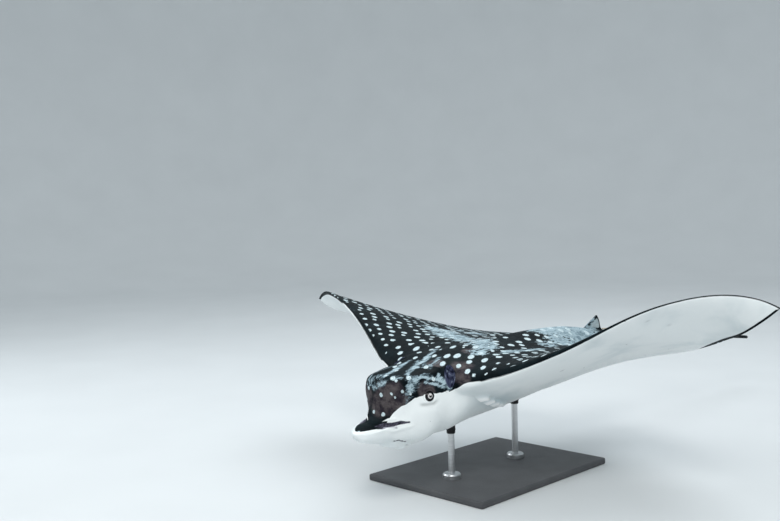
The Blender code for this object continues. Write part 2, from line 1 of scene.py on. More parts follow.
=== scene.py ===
"""Looks of the spotted eagle ray: one seamless skin, glossy eyes, a barbed sting and the stand.

Lengths are in metres.  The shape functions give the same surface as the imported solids, in the
animal's own frame (x to its left, y back from the snout, z up); LIFT and BASE_BACK place it over
the stand.  The skin is sampled finely, sculpted by small functions and painted by nodes.
"""
import math

import bpy
import numpy as np
from mathutils import Matrix, Vector
from mathutils.bvhtree import BVHTree
from mathutils.interpolate import poly_3d_calc
from mathutils.kdtree import KDTree


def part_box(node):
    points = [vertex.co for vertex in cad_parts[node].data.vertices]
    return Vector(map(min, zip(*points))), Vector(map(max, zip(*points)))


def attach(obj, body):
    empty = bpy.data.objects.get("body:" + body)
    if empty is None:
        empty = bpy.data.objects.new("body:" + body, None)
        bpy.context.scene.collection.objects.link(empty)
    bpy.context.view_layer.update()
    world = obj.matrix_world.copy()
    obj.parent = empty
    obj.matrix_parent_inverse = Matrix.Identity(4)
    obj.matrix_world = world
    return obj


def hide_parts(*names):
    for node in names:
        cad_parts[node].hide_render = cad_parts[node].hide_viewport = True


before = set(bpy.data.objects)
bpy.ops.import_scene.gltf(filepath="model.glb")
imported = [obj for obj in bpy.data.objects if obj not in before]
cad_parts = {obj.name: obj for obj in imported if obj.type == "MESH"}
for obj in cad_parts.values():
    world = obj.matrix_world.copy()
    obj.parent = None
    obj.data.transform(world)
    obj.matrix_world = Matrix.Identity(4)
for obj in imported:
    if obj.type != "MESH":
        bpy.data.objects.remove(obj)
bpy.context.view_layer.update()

# ---- where the animal hangs over the middle of its base
LIFT = 0.25
BASE_BACK = 0.46

# ---- wing plan, laid flat
HALF_SPAN = 0.7405
TIP_Y = 0.529
ROOT_X, ROOT_Y = 0.088, 0.205
REAR_X, REAR_Y = 0.160, 0.860
AXIL_X, AXIL_Y = 0.056, 0.845
LEADING_SWEEP = 0.140
TRAILING_BOW = 0.023
TIP_FULL, TIP_POWER = 0.55, 16   # how full the outline is just before the tip
EDGE_HALF = 0.0013               # half the thickness of the wing's rim
EDGE_FADE = 0.012                # share of the chord over which the rim rounds off
UPPER_SHARE = 0.53               # share of the wing's thickness above its mean sheet
ROOT_REACH, ROOT_FOIL = 0.15, 0.30   # how far out and back the root's underside opens gently
HOLLOW_Q, HOLLOW_Q_REACH = 0.39, 0.11    # the underside is flattened round this distance out
HOLLOW_S, HOLLOW_S_REACH = 0.60, 0.30    # and round this share of the chord

# ---- wing pose, degrees from root to tip; 1 is the animal's left, -1 its right
RISE_AT = (0.0, 0.13, 0.37, 0.61, 0.83, 1.0)
TWIST_AT = (0.0, 0.13, 0.45, 0.75, 1.0)
RISE = {1: (0.0, 10.1, 20.8, 25.7, 13.1, -5.8), -1: (0.0, 18.8, 20.0, 13.6, 1.1, -4.1)}
TWIST = {1: (0.0, 0.0, 8.1, 28.0, 71.7), -1: (0.0, 0.0, 8.4, 19.4, 61.6)}
AXIS_PLACE, AXIS_Y = 0.35, 0.45      # the twist turns about this share of the chord, or this y
AXIS_BLEND = 0.3                     # distance out at which the chord's share takes over
NECK_Y, NECK_LENGTH = 0.10, 0.10     # the head stays put; the pose sets in behind it

# ---- head lines, at nine stations: snout tip, bill (2), crease, brow (2), crown, eye, wing root
TOP_Y = (0.000, 0.009, 0.031, 0.060, 0.069, 0.068, 0.088, 0.138, 0.205)
TOP_Z = (-0.0695, -0.0645, -0.0570, -0.049, -0.012, 0.030, 0.051, 0.058, 0.063)
KEEL_Y = (0.001, 0.011, 0.039, 0.067, 0.088, 0.108, 0.128, 0.157, 0.205)
KEEL_Z = (-0.076, -0.0875, -0.0975, -0.1025, -0.1085, -0.1145, -0.117, -0.117, -0.112)
SIDE_X = (0.007, 0.023, 0.037, 0.047, 0.053, 0.060, 0.069, 0.081, 0.088)
SIDE_Y = (0.002, 0.011, 0.034, 0.061, 0.084, 0.104, 0.125, 0.157, 0.205)
SIDE_Z = (-0.0735, -0.0710, -0.0655, -0.0610, -0.057, -0.051, -0.041, -0.014, 0.004)
CROWN_FULL = (0.60, 0.78, 0.88, 0.84, 0.86, 1.12, 0.92, 0.74, 0.68)
CHEEK_FULL = (0.55, 0.50, 0.30, 0.10, 0.25, 0.60, 0.62, 0.62, 0.62)
SHELF_IN = (0.00, 0.05, 0.20, 0.45, 0.42, 0.18, 0.03, 0.00, 0.00)
JOWL_FULL = (0.55, 0.58, 0.60, 0.60, 0.62, 0.64, 0.66, 0.68, 0.66)
KEEL_FULL = (0.60, 0.64, 0.68, 0.70, 0.72, 0.72, 0.72, 0.72, 0.70)

# ---- trunk and tail lines, as (distance back, size)
BACK_Z = ((0.205, 0.063), (0.28, 0.073), (0.38, 0.082), (0.50, 0.084), (0.62, 0.0895), (0.75, 0.086),
          (0.86, 0.0735), (0.95, 0.0605), (1.05, 0.047), (1.25, 0.027), (1.55, -0.012), (1.93, -0.066))
BELLY_Z = ((0.205, -0.112), (0.28, -0.099), (0.38, -0.085), (0.50, -0.072), (0.62, -0.052),
           (0.75, -0.025), (0.86, -0.002), (0.95, 0.012), (1.05, 0.018), (1.25, 0.007),
           (1.55, -0.028), (1.93, -0.077))
TRUNK_HALF = ((0.205, 0.088), (0.28, 0.112), (0.38, 0.134), (0.50, 0.140), (0.62, 0.125),
              (0.74, 0.092), (0.845, 0.056))
STERN_HALF = ((0.845, 0.056), (0.875, 0.054), (0.91, 0.066), (0.955, 0.078), (0.978, 0.062),
              (0.992, 0.026), (1.02, 0.0155), (1.05, 0.0140), (1.25, 0.0100), (1.55, 0.0078),
              (1.93, 0.0055))
WING_THICK = ((0.0, 0.16), (0.088, 0.128), (0.14, 0.098), (0.20, 0.069), (0.30, 0.038), (0.42, 0.020),
              (0.55, 0.012), (0.66, 0.008), (0.7405, 0.0040))
# how a trunk section turns into its open side, and how full its back and belly are
SIDE_BLEND, SIDE_REACH, SIDE_FULL = 0.13, 0.42, 0.315
TRUNK_CROWN, TRUNK_KEEL = 0.45, 0.50
QUARTER_ROUND = 0.552                # arm of a curve that draws a quarter circle
TIP_CLOSE = 0.9985                   # where the last ring round a wing tip lies
TAIL_END_Y = 1.93
STERN_END_Y = 1.05
FIN_FRONT, FIN_APEX, FIN_REAR = 0.890, 0.954, 0.9695
FIN_HEIGHT, FIN_HALF = 0.0405, 0.0042
FIN_RISE, FIN_DROP = 0.95, 0.34      # bend of the fin's front and rear outline
EYE_RADIUS = 0.0130
SPINE_LENGTH, SPINE_HALF_WIDTH, SPINE_THICK, SPINE_Y = 0.085, 0.0040, 0.0032, 0.985
ROD_RADIUS = 0.008

# ---- where the dark back meets the white belly: heights on the head, dark margins under the wings
BORDER_Z = ((0.000, -0.066), (0.012, -0.0655), (0.030, -0.063), (0.050, -0.061), (0.063, -0.055),
            (0.072, -0.044), (0.080, -0.033), (0.087, -0.022), (0.093, -0.0155), (0.102, -0.0125),
            (0.110, -0.0070), (0.118, -0.0030), (0.130, 0.0005), (0.145, 0.0025), (0.165, 0.0045),
            (0.185, 0.0050), (0.205, 0.0085))
RIM_SHARE = 0.85                         # depth gained for each step in from a wing's rim
FRONT_MARGIN = {1: 0.0006, -1: -0.0005}  # under each wing's leading edge; white over it below zero
TIP_MARGIN = {1: 0.0, -1: 0.0085}        # under it as well, in the wing's outer half
REAR_MARGIN = {1: 0.0055, -1: -0.0010}   # under each wing's trailing edge
WIDE_FRONT, WIDE_REAR = 0.0016, 0.0070   # and under the middle of the left wing's two edges

# ---- how finely the skin is divided
HEAD_ROWS, WING_ROWS, STERN_ROWS, TAIL_ROWS = 120, 84, 76, 44
LOWER_COLUMNS, UPPER_COLUMNS, SPAN_COLUMNS = 34, 46, 96
PATH_STEPS = 240


def ease(t):
    """0 up to 0, 1 from 1 on, and smooth between."""
    t = np.clip(t, 0.0, 1.0)
    return t * t * (3 - 2 * t)


def hump(x, middle, width):
    """A smooth bump, 1 at its middle."""
    return np.exp(-((x - middle) / width) ** 2)


def curve(xs, ys):
    """Monotone cubic through the points (xs, ys)."""
    xs = np.asarray(xs, float)
    ys = np.asarray(ys, float)
    step = np.diff(xs)
    rise = np.diff(ys) / step
    slope = np.zeros(len(xs))
    slope[0], slope[-1] = rise[0], rise[-1]
    for k in range(1, len(xs) - 1):
        if rise[k - 1] * rise[k] > 0:
            a = 2 * step[k] + step[k - 1]
            b = step[k] + 2 * step[k - 1]
            slope[k] = (a + b) / (a / rise[k - 1] + b / rise[k])

    def value(t):
        t = np.clip(np.asarray(t, float), xs[0], xs[-1])
        k = np.clip(np.searchsorted(xs, t, side="right") - 1, 0, len(xs) - 2)
        s = (t - xs[k]) / step[k]
        start = (1 + 2 * s) * (1 - s) ** 2 * ys[k] + s * (1 - s) ** 2 * step[k] * slope[k]
        end = s * s * (3 - 2 * s) * ys[k + 1] + s * s * (s - 1) * step[k] * slope[k + 1]
        return start + end
    return value


def table(rows):
    """The curve through rows of (distance back or out, size)."""
    return curve([r[0] for r in rows], [r[1] for r in rows])


back_z = table(BACK_Z)
belly_z = table(BELLY_Z)
trunk_half = table(TRUNK_HALF)
stern_half = table(STERN_HALF)
wing_thick = table(WING_THICK)
border_z = table(BORDER_Z)
HEAD_LINES = {"top_y": TOP_Y, "top_z": TOP_Z, "keel_y": KEEL_Y, "keel_z": KEEL_Z, "side_x": SIDE_X,
              "side_y": SIDE_Y, "side_z": SIDE_Z, "crown": CROWN_FULL, "cheek": CHEEK_FULL,
              "shelf": SHELF_IN, "jowl": JOWL_FULL, "keel": KEEL_FULL}
HEAD_CURVES = {name: curve(range(len(line)), line) for name, line in HEAD_LINES.items()}
ROOT_STATION = len(TOP_Y) - 1


def running_total(values, step=1.0):
    """The area under evenly spaced values, up to each of them."""
    return np.concatenate([[0], np.cumsum(0.5 * (values[1:] + values[:-1]) * step)])


def run_along(path):
    """Distance from the first point to each point of a path."""
    return np.concatenate([[0], np.cumsum(np.linalg.norm(np.diff(path, axis=0), axis=1))])


# ---------------------------------------------------------------- wings
def tip_bow(t):
    """How much the edges bow outward just before the tip, where t is 1."""
    return TIP_FULL * t ** TIP_POWER * (1 - t)


def leading_edge(q):
    """Distance back of the leading edge at q from the midline."""
    t = np.clip((q - ROOT_X) / (HALF_SPAN - ROOT_X), 0, 1)
    share = (1 - LEADING_SWEEP) * t + LEADING_SWEEP * t ** 4 - tip_bow(t)
    return ROOT_Y + (TIP_Y - ROOT_Y) * share


def trailing_edge(q):
    """Distance back of the trailing edge at q from the midline."""
    t = np.clip((q - REAR_X) / (HALF_SPAN - REAR_X), 0, 1)
    share = (1 - TRAILING_BOW) * t + TRAILING_BOW * (1 - (1 - t) ** 2) - tip_bow(t)
    outer = REAR_Y - (REAR_Y - TIP_Y) * share
    inner = (REAR_Y - AXIL_Y) * np.clip((REAR_X - q) / (REAR_X - AXIL_X), 0, 1) ** 2
    return outer - inner


def foil(s):
    """Thickness of a streamlined section along its chord, 1 at its thickest."""
    s = np.clip(s, 0, 1)
    bow = 0.2969 * np.sqrt(s) - 0.1260 * s - 0.3516 * s ** 2 + 0.2843 * s ** 3 - 0.1036 * s ** 4
    return 10 * bow


def wing_half(q, s, side):
    """Height of the wing's upper (side 1) or lower (side -1) face over its mean sheet."""
    rim = EDGE_HALF * np.clip(np.minimum(s, 1 - s) / EDGE_FADE, 0, 1) ** 0.5
    bow = foil(s)
    if side < 0:
        gentle = 1 - (1 - np.clip(s / ROOT_FOIL, 0, 1)) ** 2
        at_root = 1 - ease((q - ROOT_X) / ROOT_REACH)
        bow = bow + at_root * (np.minimum(gentle, bow) - bow)
        hollow = ((q - HOLLOW_Q) / HOLLOW_Q_REACH) ** 2 + ((s - HOLLOW_S) / HOLLOW_S_REACH) ** 2
        bow = bow * (1 - np.exp(-hollow))
    share = UPPER_SHARE if side > 0 else 1 - UPPER_SHARE
    return side * (share * wing_thick(q) * bow + rim)


def chord_place(q, y):
    """Share of the chord at q that lies in front of y."""
    return np.clip((y - leading_edge(q)) / (trailing_edge(q) - leading_edge(q)), 0, 1)


def pose_wing(points, hand):
    """Bend one side's flat points (x >= 0) up and twist them; the head and midline stay put."""
    steps = np.linspace(0, HALF_SPAN, PATH_STEPS * 2)
    rise = np.radians(curve(RISE_AT, RISE[hand])(steps / HALF_SPAN))
    twist = np.radians(curve(TWIST_AT, TWIST[hand])(steps / HALF_SPAN))
    along = running_total(np.cos(rise), steps[1])
    up = running_total(np.sin(rise), steps[1])
    q, y, z = points.T
    x0, z0, a, t = (np.interp(q, steps, line) for line in (along, up, rise, twist))
    outboard = np.clip(q / AXIS_BLEND, 0, 1)
    chord_axis = (1 - AXIS_PLACE) * leading_edge(q) + AXIS_PLACE * trailing_edge(q)
    axis_y = chord_axis * outboard + AXIS_Y * (1 - outboard)
    lift = z * np.cos(t) - (y - axis_y) * np.sin(t)
    back = axis_y + (y - axis_y) * np.cos(t) + z * np.sin(t)
    bent = np.stack([x0 - lift * np.sin(a), back, z0 + lift * np.cos(a)], 1)
    share = ease((y - NECK_Y) / NECK_LENGTH)[:, None]
    return points * (1 - share) + bent * share


# ---------------------------------------------------------------- half sections
def bezier(points, steps):
    """Points along the cubic that four control points draw."""
    a, b, c, d = points
    t = np.linspace(0, 1, steps)[:, None]
    return a * (1 - t) ** 3 + 3 * b * t * (1 - t) ** 2 + 3 * c * t * t * (1 - t) + d * t ** 3


def spread(path, marks):
    """The path's points at the given fractions of its length."""
    run = run_along(path)
    return np.stack([np.interp(marks * run[-1], run, path[:, k]) for k in range(3)], 1)


def head_controls(station):
    """Control points of a head section: keel to side, then side to crown."""
    h = {name: float(line(station)) for name, line in HEAD_CURVES.items()}
    top = np.array([0, h["top_y"], h["top_z"]])
    keel = np.array([0, h["keel_y"], h["keel_z"]])
    side = np.array([h["side_x"], h["side_y"], h["side_z"]])
    rise = (top - side) * h["cheek"]
    cheek = side + [-side[0] * h["shelf"], 0.6 * rise[1], rise[2]]
    crown = top + [side[0] * h["crown"], 0.25 * (side[1] - top[1]), 0]
    jowl = side + [0, (keel[1] - side[1]) * h["jowl"], (keel[2] - side[2]) * h["jowl"]]
    chin = keel + [side[0] * h["keel"], 0, 0]
    return (keel, chin, jowl, side), (side, cheek, crown, top)


def trunk_controls(y):
    """Control points of a trunk section, which is open at the side where the wing joins it."""
    top = np.array([0, y, float(back_z(y))])
    keel = np.array([0, y, float(belly_z(y))])
    w = float(trunk_half(y))
    s = chord_place(w, y)
    level = SIDE_Z[-1] * (1 - ease((y - ROOT_Y) / 0.1)) + 0.012 * ease((y - 0.55) / 0.3)
    upper = np.array([w, y, wing_half(w, s, 1) + level])
    lower = np.array([w, y, wing_half(w, s, -1) + level])
    m = float(ease((y - ROOT_Y) / SIDE_BLEND))
    reach = SIDE_REACH * w * m
    drop = top[2] - upper[2]
    hang = lower[2] - keel[2]
    shoulder = upper + [-reach, 0, drop * (CHEEK_FULL[-1] * (1 - m) + SIDE_FULL * m * m)]
    flank = lower - [reach, 0, hang * (JOWL_FULL[-1] * (1 - m) + SIDE_FULL * m * m)]
    crown = [w * (CROWN_FULL[-1] * (1 - m) + TRUNK_CROWN * m), 0, 0]
    chin = [w * (KEEL_FULL[-1] * (1 - m) + TRUNK_KEEL * m), 0, 0]
    return (keel, keel + chin, flank, lower), (upper, shoulder, top + crown, top)


def stern_controls(y):
    """Control points of the tail root and tail; the pelvic fins are its flat flanges."""
    top = np.array([0, y, float(back_z(y))])
    keel = np.array([0, y, float(belly_z(y))])
    w = float(stern_half(y))
    core = 0.5 * (top[2] - keel[2])
    flat = float(np.clip((w - 1.1 * core) / 0.03, 0, 1))
    side = np.array([w, y, 0.5 * (top[2] + keel[2]) - 0.25 * core * flat])
    inward = -0.75 * (w - core) * flat
    bulge = QUARTER_ROUND * core * (1 - flat) + 0.06 * core * flat
    wide = [QUARTER_ROUND * w * (1 - flat) + 0.9 * core * flat, 0, 0]
    above = side + [inward, 0, bulge]
    below = side + [inward, 0, -bulge]
    return (keel, keel + wide, below, side), (side, above, top + wide, top)


def fin_height(y):
    """How far the dorsal fin stands over the back at distance y."""
    front = np.clip((y - FIN_FRONT) / (FIN_APEX - FIN_FRONT), 0, 1)
    rear = np.clip((FIN_REAR - y) / (FIN_REAR - FIN_APEX), 0, 1)
    return FIN_HEIGHT * min(front ** FIN_RISE, rear ** FIN_DROP)


def raise_fin(path, y):
    """The upper half section with the dorsal fin standing on its midline."""
    root = 3 * FIN_HALF
    x = np.concatenate([path[path[:, 0] > root, 0], np.linspace(root, 0, PATH_STEPS // 3)])
    z = np.interp(x, path[::-1, 0], path[::-1, 2])
    z = z + fin_height(y) * ease(2.2 * (1 - np.clip(x / FIN_HALF, 0, 1)))
    return np.stack([x, np.full(len(x), y), z], 1)


def half_section(station, y, low_marks, high_marks):
    """Lower and upper halves of a section: on the head by station, behind it by distance y."""
    if y is None:
        low, high = head_controls(station)
    elif y <= AXIL_Y:
        low, high = trunk_controls(y)
    else:
        low, high = stern_controls(y)
    lower = bezier(low, PATH_STEPS)
    upper = bezier(high, PATH_STEPS)
    if y is not None and FIN_FRONT < y < FIN_REAR:
        upper = raise_fin(upper, y)
    return spread(lower, low_marks), spread(upper, high_marks)


# ---------------------------------------------------------------- the skin's surface
class Sheet:
    """The skin's points and faces.

    Each point keeps its flat place, and how it lies: the distance out from the midline over the
    skin, the distance back, and the depth into the dark side (below zero under the border).
    """

    def __init__(self):
        self.points = []
        self.lie = []
        self.faces = []
        self.count = 0

    def add(self, points, lie):
        """Add points; returns their numbers."""
        points = np.atleast_2d(points)
        self.points.append(points)
        self.lie.append(np.atleast_2d(lie))
        first = self.count
        self.count += len(points)
        return np.arange(first, self.count)

    def strip(self, one, two, hand):
        """Faces between two lines of points."""
        corners = np.stack([one[:-1], two[:-1], two[1:], one[1:]], 1)
        self.faces.append(corners if hand > 0 else corners[:, ::-1])


def by_density(low, high, count, density):
    """Places from low to high, count steps, closer together where density is larger."""
    fine = np.linspace(low, high, 2000)
    run = running_total(density(fine))
    return np.interp(np.linspace(0, run[-1], count + 1), run, fine)


def body_stations():
    """(station, y) of every row from snout to tail end, and the first and last winged rows."""
    head = by_density(0, ROOT_STATION, HEAD_ROWS, lambda s: 1 + 0.8 * hump(s, 7.2, 0.8))
    wing = by_density(ROOT_Y, AXIL_Y, WING_ROWS, lambda y: 1 + 4.0 * hump(y, ROOT_Y, 0.05)
                      + 2.0 * hump(y, 0.32, 0.07))
    stern = by_density(AXIL_Y, STERN_END_Y, STERN_ROWS, lambda y: 1 + 0.8 * hump(y, 0.96, 0.04))
    tail = np.linspace(STERN_END_Y, TAIL_END_Y, TAIL_ROWS + 1)
    rows = [(s, None) for s in head] + [(None, y) for y in (*wing[1:], *stern[1:], *tail[1:])]
    return rows, HEAD_ROWS, HEAD_ROWS + WING_ROWS


def row_lie(lower, upper, station, back):
    """How the points of one row's lower and upper halves lie on the skin."""
    up = run_along(upper)
    down = run_along(lower[::-1])[::-1]
    if station is None:
        w, y = upper[0, 0], upper[0, 1]
        rim = max(0.0, float(min(y - leading_edge(w), trailing_edge(w) - y))) * RIM_SHARE
        black = 0.06 * ease((y - 1.0) / 0.06)
        depth = (-rim - down + black, rim + up + black)
    else:
        depth = (lower[:, 2] - border_z(lower[:, 1]), upper[:, 2] - border_z(upper[:, 1]))
    out = (up[-1] + down, up[-1] - up)
    return [np.stack([u, np.full(len(u), back), d], 1) for u, d in zip(out, depth)]


def lay_rows(sheet):
    """Lay the rings of the head, trunk and tail; returns each row's lower and upper points."""
    stations, first, last = body_stations()
    part = np.linspace(0, 1, UPPER_COLUMNS + 1)
    low_marks = 1 - (1 - np.linspace(0, 1, LOWER_COLUMNS + 1)) ** 1.35
    halves = []
    for station, y in stations:
        fin_row = 0.0 if y is None else float(ease((y - 0.78) / 0.10) * ease((1.10 - y) / 0.08))
        high_marks = (1 - fin_row) * part ** 1.25 + fin_row * (1 - (1 - part) ** 1.5)
        halves.append(half_section(station, y, low_marks, high_marks))
    steps = [np.linalg.norm(b[1] - a[1], axis=1)[UPPER_COLUMNS // 4:].mean()
             for a, b in zip(halves, halves[1:first + 1])]
    backs = ROOT_Y - np.concatenate([np.cumsum(steps[::-1])[::-1], [0]])
    rows = []
    for k, ((station, y), (lower, upper)) in enumerate(zip(stations, halves)):
        low_lie, up_lie = row_lie(lower, upper, station, backs[k] if y is None else y)
        keel = sheet.add(lower[0], low_lie[0])
        top = sheet.add(upper[-1], up_lie[-1])
        row = {}
        for hand in (1, -1):
            turn = [hand, 1, 1]
            low = np.concatenate([keel, sheet.add(lower[1:] * turn, low_lie[1:] * turn)])
            start = sheet.add(upper[0] * turn, up_lie[0] * turn) if first < k < last else low[-1:]
            high = np.concatenate([start, sheet.add(upper[1:-1] * turn, up_lie[1:-1] * turn), top])
            row[hand] = (low, high)
        rows.append(row)
    return rows, first, last


def front_margin(q, hand):
    """How far the dark side reaches under a leading edge, at q from the midline."""
    wide = WIDE_FRONT * hump(q, 0.33, 0.13) * (hand > 0)
    return FRONT_MARGIN[hand] * ease((q - 0.25) / 0.2) + wide + TIP_MARGIN[hand] * ease((q - 0.46) / 0.07)


def rear_margin(q, hand):
    """How far the dark side reaches under a trailing edge, at q from the midline."""
    wide = WIDE_REAR * hump(q, 0.52, 0.08) * (hand > 0)
    return (REAR_MARGIN[hand] + wide) * ease((q - 0.4) / 0.1)


def lay_wing(sheet, rows, first, last, hand):
    """Grow one wing out from the open side of the trunk and close its tip."""
    lower = np.array([rows[k][hand][0][-1] for k in range(first, last + 1)])
    upper = np.array([rows[k][hand][1][0] for k in range(first, last + 1)])
    x, y, z = np.concatenate(sheet.points)[upper].T
    out = np.abs(np.concatenate(sheet.lie)[upper, 0])
    w = np.abs(x)
    root_place = chord_place(w, y)
    place = np.linspace(0, 1, len(upper))
    tip_place = 0.5 * (1 - np.cos(np.pi * place ** 1.15))
    root_level = z - wing_half(w, root_place, 1)
    spans = by_density(0, TIP_CLOSE, SPAN_COLUMNS,
                       lambda v: 1 + 2.2 * hump(v, 0, 0.08) + 1.5 * hump(v, 1, 0.1))
    for v in spans[1:]:
        q = w + (HALF_SPAN - w) * v
        s = root_place + (tip_place - root_place) * ease(v / 0.35)
        s[0], s[-1] = 0.0, 1.0
        level = root_level * (1 - ease(v / 0.5))
        front, rear = leading_edge(q), trailing_edge(q)
        back = front + (rear - front) * s
        rim = np.minimum(back - front, rear - back) * RIM_SHARE
        margin = np.where(s < 0.5, front_margin(q, hand), rear_margin(q, hand))
        under, over = (np.stack([hand * q, back, level + wing_half(q, s, side)], 1) for side in (-1, 1))
        low_lie, up_lie = (np.stack([hand * (out + q - w), back, d], 1) for d in (margin - rim, margin + rim))
        edge = np.stack([hand * q, back, level], 1)
        front_rim = sheet.add(edge[0], up_lie[0])
        rear_rim = sheet.add(edge[-1], up_lie[-1])
        new_lower = np.concatenate([front_rim, sheet.add(under[1:-1], low_lie[1:-1]), rear_rim])
        new_upper = np.concatenate([front_rim, sheet.add(over[1:-1], up_lie[1:-1]), rear_rim])
        sheet.strip(new_lower, lower, hand)
        sheet.strip(upper, new_upper, hand)
        lower, upper = new_lower, new_upper
    sheet.strip(upper, lower, hand)


def lay_skin():
    """Flat points, posed points, how each lies, and the faces, in the animal's frame."""
    sheet = Sheet()
    rows, first, last = lay_rows(sheet)
    for one, two in zip(rows, rows[1:]):
        for hand in (1, -1):
            sheet.strip(one[hand][0], two[hand][0], hand)
            sheet.strip(one[hand][1], two[hand][1], hand)
    for hand in (1, -1):
        lay_wing(sheet, rows, first, last, hand)
    flat = np.concatenate(sheet.points)
    faces = [list(dict.fromkeys(face)) for block in sheet.faces for face in block.tolist()]
    faces = [face for face in faces if len(face) > 2]
    for row, hand in ((rows[0], 1), (rows[-1], -1)):
        left = [*row[1][0], *row[1][1][1:]]
        right = [*row[-1][0][1:], *row[-1][1][1:-1]]
        ring = [int(k) for k in left + right[::-1]]
        faces.append(ring[::hand])
    posed = flat.copy()
    for hand in (1, -1):
        mine = flat[:, 0] * hand > 0
        posed[mine] = pose_wing(flat[mine] * [hand, 1, 1], hand) * [hand, 1, 1]
    return flat, posed, np.concatenate(sheet.lie), faces


# ---------------------------------------------------------------- sculpting
def from_path(points, path):
    """Distance of the points from a chain of places, and how far along it (0 to 1) they are."""
    best = np.full(len(points), np.inf)
    run = np.zeros(len(points))
    for k, (start, end) in enumerate(zip(path, path[1:])):
        way = end - start
        t = np.clip((points - start) @ way / (way @ way), 0, 1)
        away = np.linalg.norm(points - start - t[:, None] * way, axis=1)
        run = np.where(away < best, (k + t) / (len(path) - 1), run)
        best = np.minimum(best, away)
    return best, run


def near_path(points, path, width):
    """Closeness (1 to 0) of the points to a chain of places, and how far along it they are."""
    gap, run = from_path(points, path)
    return hump(gap, 0, width), run


def in_middle(run, start, end):
    """Fades a chain's effect in over its first part and out over its last."""
    return ease(run / start) * ease((1 - run) / end)


class Skin:
    """The laid skin with its normals, and the places on it that the features hang on."""

    def __init__(self):
        self.flat, self.points, self.lie, self.faces = lay_skin()
        self.posed = self.points.copy()
        # evens out the crease where the head's last section meets the trunk's first
        joint = hump(self.flat[:, 1], ROOT_Y, 0.026) * (np.abs(self.flat[:, 0]) < 0.16)
        self.soften(joint * ease((self.lie[:, 2] * np.sign(0.02 - self.flat[:, 2]) + 0.3) / 0.1), 90)
        mesh = bpy.data.meshes.new("probe")
        mesh.from_pydata(self.points.tolist(), [], self.faces)
        self.normals = np.empty(len(self.points) * 3)
        mesh.vertices.foreach_get("normal", self.normals)
        self.normals = self.normals.reshape(-1, 3)
        bpy.data.meshes.remove(mesh)
        self.side = np.abs(self.flat) * [1, 0, 0] + self.flat * [0, 1, 1]
        self.finder = KDTree(len(self.posed))
        for k, point in enumerate(self.posed):
            self.finder.insert(point, k)
        self.finder.balance()

    def nearest(self, place):
        """Number of the skin point nearest a place on the posed animal."""
        return self.finder.find(place)[1]

    def freeze(self):
        """Keep the skin as it is now, to find places on it while openings are cut."""
        self.whole_faces = list(self.faces)
        self.whole_points = [Vector(point) for point in self.points]
        self.tree = BVHTree.FromPolygons(self.whole_points, self.whole_faces)

    def share_out(self, place):
        """The corners of the frozen face nearest a place, and the share each has in it."""
        spot, _, index, _ = self.tree.find_nearest(Vector(place))
        corners = self.whole_faces[index]
        return corners, np.array(poly_3d_calc([self.whole_points[k] for k in corners], spot))

    def soften(self, share, rounds):
        """Even out the surface where share is above zero."""
        pairs = np.array(sorted({(a, b) for face in self.faces for a, b in zip(face, face[1:] + face[:1])}))
        count = np.bincount(pairs[:, 0], minlength=len(self.points))[:, None]
        for _ in range(rounds):
            total = np.stack([np.bincount(pairs[:, 0], self.points[pairs[:, 1], k], len(self.points))
                              for k in range(3)], 1)
            self.points += 0.5 * share[:, None] * (total / count - self.points)

    def flat_place(self, place):
        """The flat place of the skin point nearest a place on the posed animal."""
        return self.flat[self.nearest(place)]

    def path(self, places):
        """A chain of places on the posed left side, laid flat."""
        return np.array([self.flat_place(place) for place in places])

    def near(self, width, places):
        """Closeness of every point to a line on its own side, and how far along the line it is."""
        return near_path(self.side, self.path(places), width)

    def away(self, places):
        """Distance of every point from a line on its own side, and how far along it it is."""
        return from_path(self.side, self.path(places))

    def beside(self, place, reach):
        """Closeness (1 to 0) of every point to one place on the posed animal."""
        return hump(np.linalg.norm(self.posed - place, axis=1), 0, reach)

    def twin(self, place, hand):
        """A place on the posed left side, or its match on the right side."""
        flat = self.flat_place(place) * [hand, 1, 1]
        return self.posed[np.argmin(((self.flat - flat) ** 2).sum(1))]


# ---- lines that the left side's features follow, as places on the posed animal
BROW = ((0.045, 0.078, 0.030), (0.056, 0.112, 0.040), (0.061, 0.153, 0.043), (0.068, 0.190, 0.047),
        (0.060, 0.225, 0.060))
TEMPLE = ((0.062, 0.105, 0.020), (0.070, 0.135, 0.022), (0.075, 0.160, 0.024))
CHEEK = ((0.056, 0.104, -0.035), (0.076, 0.145, -0.034), (0.086, 0.190, -0.036))
TEAR = ((0.068, 0.128, -0.016), (0.077, 0.143, -0.0185), (0.083, 0.163, -0.0185), (0.087, 0.185, -0.010))
SHOULDER = ((0.084, 0.176, 0.006), (0.088, 0.200, 0.009), (0.100, 0.214, 0.012))
SLOT = ((0.022, 0.042, -0.0595), (0.032, 0.061, -0.0575), (0.042, 0.073, -0.0560),
        (0.052, 0.089, -0.0530), (0.061, 0.108, -0.0530))
SLIVER = ((0.020, 0.059, -0.0520), (0.026, 0.065, -0.0490), (0.033, 0.071, -0.0460), (0.043, 0.083, -0.0450))
LIP = ((0.022, 0.045, -0.067), (0.040, 0.072, -0.067), (0.056, 0.098, -0.065), (0.068, 0.124, -0.062))
UNDER_LIP = ((0.026, 0.034, -0.0650), (0.033, 0.055, -0.0640), (0.042, 0.069, -0.0625),
             (0.054, 0.090, -0.0600))
BILL_RIM = ((0.004, 0.000, -0.068), (0.016, 0.008, -0.067), (0.030, 0.028, -0.065),
            (0.041, 0.050, -0.063), (0.052, 0.085, -0.062))
WHITE_RIM = ((0.000, 0.0005, -0.0690), (0.010, 0.004, -0.0680), (0.019, 0.012, -0.0665),
             (0.029, 0.028, -0.0640), (0.037, 0.046, -0.0625))
